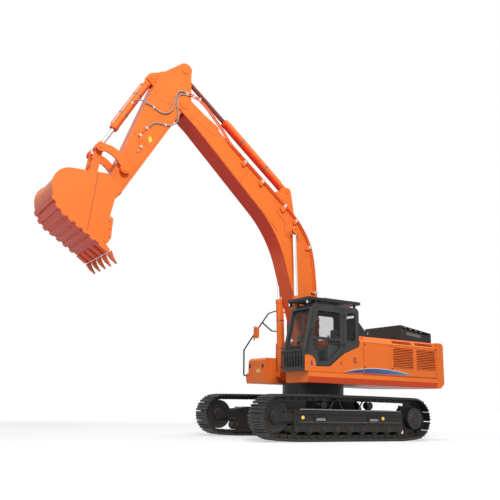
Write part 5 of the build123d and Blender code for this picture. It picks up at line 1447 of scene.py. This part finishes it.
boomPipes = {
    "radius": 0.019, "apart": 0.052, "bend": 0.30,
    # x, z and the distance out from the boom's middle
    "line": ((0.040, 2.90, 0.318), (0.205, 4.636, 0.318), (0.300, 5.110, 0.318), (0.455, 5.428, 0.318),
             (0.690, 5.770, 0.318), (0.990, 6.062, 0.318), (2.02, 6.865, 0.318), (3.02, 7.640, 0.318),
             (3.22, 7.930, 0.305), (3.50, 8.245, 0.292), (3.78, 8.530, 0.286), (3.98, 8.665, 0.286),
             (4.20, 8.735, 0.286), (4.345, 8.735, 0.286)),
    # x, z of the clamps, and the size of the bracket that carries each
    "clamps": ((2.508, 7.245, 0.13), (1.945, 6.806, 0.13), (1.200, 6.225, 0.16), (0.800, 5.880, 0.12),
               (0.330, 5.160, 0.13), (0.128, 3.900, 0.10), (0.060, 3.150, 0.10)),
    "block": ((-0.45, 0.0), (0.45, 0.0), (0.45, 1.0), (-0.25, 1.25), (-0.45, 1.0)), "blockLevels": (0.286, 0.345),
    "strap": rectangle(-0.036, -0.030, 0.036, 0.082), "strapLevels": (0.292, 0.346),
    "bolts": (-0.014, 0.026, 0.066), "boltSize": 0.011,
    "noseClamps": ((3.98, 8.640), (4.14, 8.690)), "noseRun": (0.956, 0.292),
    "noseStrap": rectangle(-0.024, -0.055, 0.024, 0.055), "noseLevels": (0.2675, 0.314),
    "ends": ((4.32, 0.286, 8.735), (4.32, 0.286, 8.682)),
    "endProfile": ((0.022, -0.02), (0.025, 0.0), (0.025, 0.035), (0.023, 0.05), (0.023, 0.075)),
}


def offsetLine(line, inward):
    route = []
    for i, (x, z, y) in enumerate(line):
        before, after = line[max(i - 1, 0)], line[min(i + 1, len(line) - 1)]
        run = Vector((after[0] - before[0], after[1] - before[1])).normalized()
        route.append((x + run.y * inward, y, z - run.x * inward))
    return route


def makeBoomPipes():
    pipes, blocks, clamps, fittings = newBuilds(4)
    line, bend = boomPipes["line"], boomPipes["bend"]
    for inward in (0, boomPipes["apart"]):
        addTube(pipes, bendCorners(offsetLine(line, inward), bend, 8), boomPipes["radius"], 12)
    newPiece("boomPipes", pipes, "orangePaint", "boom")
    smooth = [p.xy for p in bendCorners([(x, z, 0) for x, z, y in line], bend, 8)]
    face = boomPipes["strapLevels"][1]
    for x, z, size in boomPipes["clamps"]:
        place = Vector((x, z))
        i = min(range(len(smooth) - 1), key=lambda k: (smooth[k] - place).length)
        run = (smooth[i + 1] - smooth[i]).normalized()
        centre = smooth[i] + run * (place - smooth[i]).dot(run)
        inward = Vector((run.y, -run.x))
        block = [(a * size, b * size + 0.055) for a, b in boomPipes["block"]]
        addPrism(blocks, stripAt(centre, run, inward, block), *boomPipes["blockLevels"])
        addPrism(clamps, stripAt(centre, run, inward, boomPipes["strap"]), *boomPipes["strapLevels"])
        for b in boomPipes["bolts"]:
            head = centre + inward * b
            addBolt(fittings, (head.x, face, head.y), (0, 1, 0), boomPipes["boltSize"])
    run = Vector(boomPipes["noseRun"])
    for x, z in boomPipes["noseClamps"]:
        strap = stripAt((x, z), run, Vector((-run.y, run.x)), boomPipes["noseStrap"])
        addPrism(clamps, strap, *boomPipes["noseLevels"])
        addBolt(fittings, (x, boomPipes["noseLevels"][1], z), (0, 1, 0), boomPipes["boltSize"])
    newPiece("boomBlocks", blocks, "orangeCast", "boom", soften=0.006)
    newPiece("boomClamps", clamps, "zincSteel", "boom", soften=0.003)
    for end in boomPipes["ends"]:
        addTurned(fittings, boomPipes["endProfile"], end, (1, 0, 0), 6)
    newPiece("boomFittings", fittings, "zincSteel", "boom")


eyeCover = {
    "outline": ((0.80, 5.36), (1.10, 5.34), (1.16, 5.56), (1.08, 5.68), (0.86, 5.66)), "corner": 0.10,
    "levels": (0.292, 0.312), "eye": (0.97, 5.50), "capLevel": 0.490,
    "cap": ((0.105, -0.004), (0.105, 0.008), (0.07, 0.016), (0.06, 0.010), (0, 0.010)),
}


def makeEyeCovers():
    build = bmesh.new()
    x, z = eyeCover["eye"]
    for sign in (-1, 1):
        outline = roundedOutline(eyeCover["outline"], eyeCover["corner"])
        addPrism(build, outline, *span(0, sign, *eyeCover["levels"]))
        addTurned(build, eyeCover["cap"], (x, sign * eyeCover["capLevel"], z), (0, sign, 0), 28)
    newPiece("boomEyeCovers", build, "orangeCast", "boom", soften=0.004)


makeBoomPipes()
makeEyeCovers()

# flat plates welded to both sides of a box section: body, half width, corner radius, outline
weldedPlates = {
    "boomNose": ("boom", 0.290, 0.12, ((4.30, 8.02), (4.13, 8.08), (3.42, 7.70), (3.36, 7.98), (3.86, 8.27),
                                       (4.10, 8.20))),
    "boomEye": ("boom", 0.290, 0.12, ((1.22, 5.37), (0.86, 5.20), (0.74, 5.50), (0.90, 5.78), (1.22, 5.72))),
    "armTop": ("arm", 0.258, 0.12, ((4.40, 9.30), (4.30, 8.62), (4.72, 8.30), (5.20, 8.35), (5.26, 8.74),
                                    (5.00, 9.02), (4.60, 9.40))),
    "armNose": ("arm", 0.258, 0.06, ((5.62, 6.36), (5.90, 5.84), (6.16, 5.92), (6.06, 6.42), (5.86, 6.62))),
}
plateThick, plateBead = 0.004, 0.005
# body, half width, and lines of weld: start, end, radius
weldLines = {
    "boomWelds": ("boom", 0.289, (((1.42, 5.45), (4.06, 7.89), 0.006), ((0.72, 5.28), (1.52, 6.05), 0.006),
                                  ((2.68, 6.60), (2.35, 7.10), 0.006))),
    "armWelds": ("arm", 0.257, (((5.30, 7.00), (5.72, 7.28), 0.006), ((4.60, 8.04), (5.90, 5.84), 0.005))),
}


def makeWeldedPlates(name, body, half, corner, outline):
    plate, beads = newBuilds(2)
    loop = roundedOutline(outline, corner)
    for sign in (-1, 1):
        addPrism(plate, loop, *span(sign * half, sign, -0.001, plateThick))
        addLoop(beads, loop, sign * half, plateBead, 6)
    newPiece(f"{name}Plates", plate, "orangePaint", body, flat=True)
    # painted shade: real weld beads, coloured dark red for the shade along the plates' edges
    newPiece(f"{name}Welds", beads, "seamShadeRed", body)


def makeWeldLines(name, body, half, lines):
    beads = bmesh.new()
    for sign in (-1, 1):
        for (x1, z1), (x2, z2), radius in lines:
            addTube(beads, [(x1, sign * half, z1), (x2, sign * half, z2)], radius, 6)
    # painted shade: real weld beads, coloured dark red for the shade along the seams
    newPiece(name, beads, "seamShadeRed", body)


for name, row in weldedPlates.items():
    makeWeldedPlates(name, *row)
for name, row in weldLines.items():
    makeWeldLines(name, *row)

armPipe = {
    "level": 0.282, "radius": 0.017,
    "line": ((5.399, 7.487), (5.52, 7.33), (5.559, 7.249), (5.548, 7.09), (5.518, 6.947), (5.545, 6.87),
             (5.583, 6.832)),
    "clamps": ((5.405, 7.480), (5.559, 7.249), (5.520, 6.955)), "clampLevels": (0.257, 0.306),
    "strap": rectangle(-0.03, -0.034, 0.03, 0.034), "boltShift": 0.022,
    "end": ((0.028, -0.02), (0.028, 0.02), (0.016, 0.03)), "endDirection": (0.6, 0, -0.5),
}


# the direction of the nearest stretch of a line, and the one square to it
def nearestRun(line, place):
    points = [Vector(p) for p in line]
    first, second = min(zip(points, points[1:]), key=lambda pair: sum((p - place).length for p in pair))
    run = (second - first).normalized()
    return run, Vector((-run.y, run.x))


def makeArmPipe():
    pipe, clamps, end = newBuilds(3)
    y, line = armPipe["level"], armPipe["line"]
    low, high = armPipe["clampLevels"]
    addTube(pipe, bendCorners([(x, y, z) for x, z in line], 0.06), armPipe["radius"], 12)
    newPiece("armPipe", pipe, "orangePaint", "arm")
    for x, z in armPipe["clamps"]:
        run, out = nearestRun(line, Vector((x, z)))
        addPrism(clamps, stripAt((x, z), run, out, armPipe["strap"]), low, high)
        shift = armPipe["boltShift"]
        addBolt(clamps, (x + out.x * shift, high, z + out.y * shift), (0, 1, 0), 0.010)
    newPiece("armClamps", clamps, "zincSteel", "arm", soften=0.003)
    x, z = line[-1]
    addTurned(end, armPipe["end"], (x, y, z), armPipe["endDirection"], 6)
    newPiece("armPipeEnd", end, "zincSteel", "arm")


makeArmPipe()
print("boom and arm dressed")

# grey hoses go from the boom's pipes over the arm's pivot, and one goes on to the bucket cylinder
hoseDiameter = 0.036
hoseTable = {
    "hoseOverPivot": ("boom", "arm", (
        (4.385, 0.286, 8.735), (4.452, 0.290, 8.752), (4.586, 0.312, 8.722), (4.668, 0.316, 8.585),
        (4.690, 0.316, 8.418), (4.715, 0.316, 8.250), (4.774, 0.312, 8.100), (4.910, 0.300, 7.990),
        (5.075, 0.290, 7.990), (5.160, 0.286, 8.035), (5.245, 0.286, 8.082))),
    "hoseToCylinder": ("arm", "bucket_cylinder_tube", (
        (5.265, 0.286, 8.090), (5.345, 0.300, 8.127), (5.741, 0.345, 8.185), (5.741, 0.125, 8.140))),
    "hoseToArm": ("boom", "arm", (
        (4.385, 0.286, 8.680), (4.457, 0.286, 8.682), (4.566, 0.286, 8.622), (4.630, 0.288, 8.470),
        (4.628, 0.290, 8.300), (4.576, 0.290, 8.135), (4.552, 0.290, 7.975), (4.600, 0.290, 7.835),
        (4.750, 0.288, 7.700), (4.904, 0.286, 7.690), (5.057, 0.284, 7.692), (5.190, 0.284, 7.680),
        (5.270, 0.284, 7.615), (5.325, 0.284, 7.545), (5.385, 0.283, 7.500))),
}


def makeHose(name, nearBody, farBody, line):
    curve = bpy.data.curves.new(name, "CURVE")
    curve.dimensions = "3D"
    spline = curve.splines.new("NURBS")
    spline.points.add(len(line) - 1)
    for point, place in zip(spline.points, line):
        point.co = place + (1,)
    spline.order_u = 3
    spline.use_endpoint_u = True
    spline.resolution_u = 8
    guide = bpy.data.objects.new(name + "Line", curve)
    path = [tuple(v.co) for v in bpy.data.meshes.new_from_object(guide).vertices]
    bpy.data.objects.remove(guide)
    build = bmesh.new()
    addTube(build, path, hoseDiameter / 2, 14)
    bmesh.ops.recalc_face_normals(build, faces=build.faces)
    obj = meshObject(name, build, "hoseGrey")
    obj.data.shade_smooth()
    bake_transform(obj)


hoseFittings = {
    # x, z and direction of each clamp
    "clamps": ((5.255, 8.086, (1, 0, 0.5)), (4.91, 7.690, (1, 0, 0))), "level": 0.286,
    "ring": ((0.026, -0.022), (0.026, 0.022)), "foot": (0.018, 0.050, (0.256, 0.292)), "boltDrop": 0.038,
    "port": ((0.034, 0.090), (0.034, 0.112), (0.024, 0.116), (0.024, 0.150), (0.021, 0.152)),
    "portPlace": (5.741, 0, 8.140),
}


def makeHoseFittings():
    clamp, port = newBuilds(2)
    half, drop, levels = hoseFittings["foot"]
    for x, z, run in hoseFittings["clamps"]:
        addTurned(clamp, hoseFittings["ring"], (x, hoseFittings["level"], z), run, 18)
        addPatch(clamp, x - half, z - drop, x + half, z, levels)
        addBolt(clamp, (x, levels[1], z - hoseFittings["boltDrop"]), (0, 1, 0), 0.010)
    newPiece("hoseClamps", clamp, "zincSteel", "arm", soften=0.002)
    addTurned(port, hoseFittings["port"], hoseFittings["portPlace"], (0, 1, 0), 20)
    newPiece("cylinderPort", port, "zincSteel", "bucket_cylinder_tube")


for name, row in hoseTable.items():
    makeHose(name, *row)
makeHoseFittings()
print("hoses hung")

bucket = {
    "half": 0.800, "bend": 0.2, "bead": 0.008,
    "seam": ((6.695, 5.891), (6.722, 5.567), (6.761, 5.205), (6.805, 4.777), (6.831, 4.496)),
}


def makeBucketSeams():
    beads = bmesh.new()
    for sign in (-1, 1):
        route = [(x, sign * bucket["half"], z) for x, z in bucket["seam"]]
        addTube(beads, bendCorners(route, bucket["bend"]), bucket["bead"], 6)
    # painted shade: real weld beads, coloured dark red for the shade along the bucket's seams
    newPiece("bucketSeams", beads, "seamShadeRed", "bucket")


makeBucketSeams()
print("bucket dressed")

print("scene made")
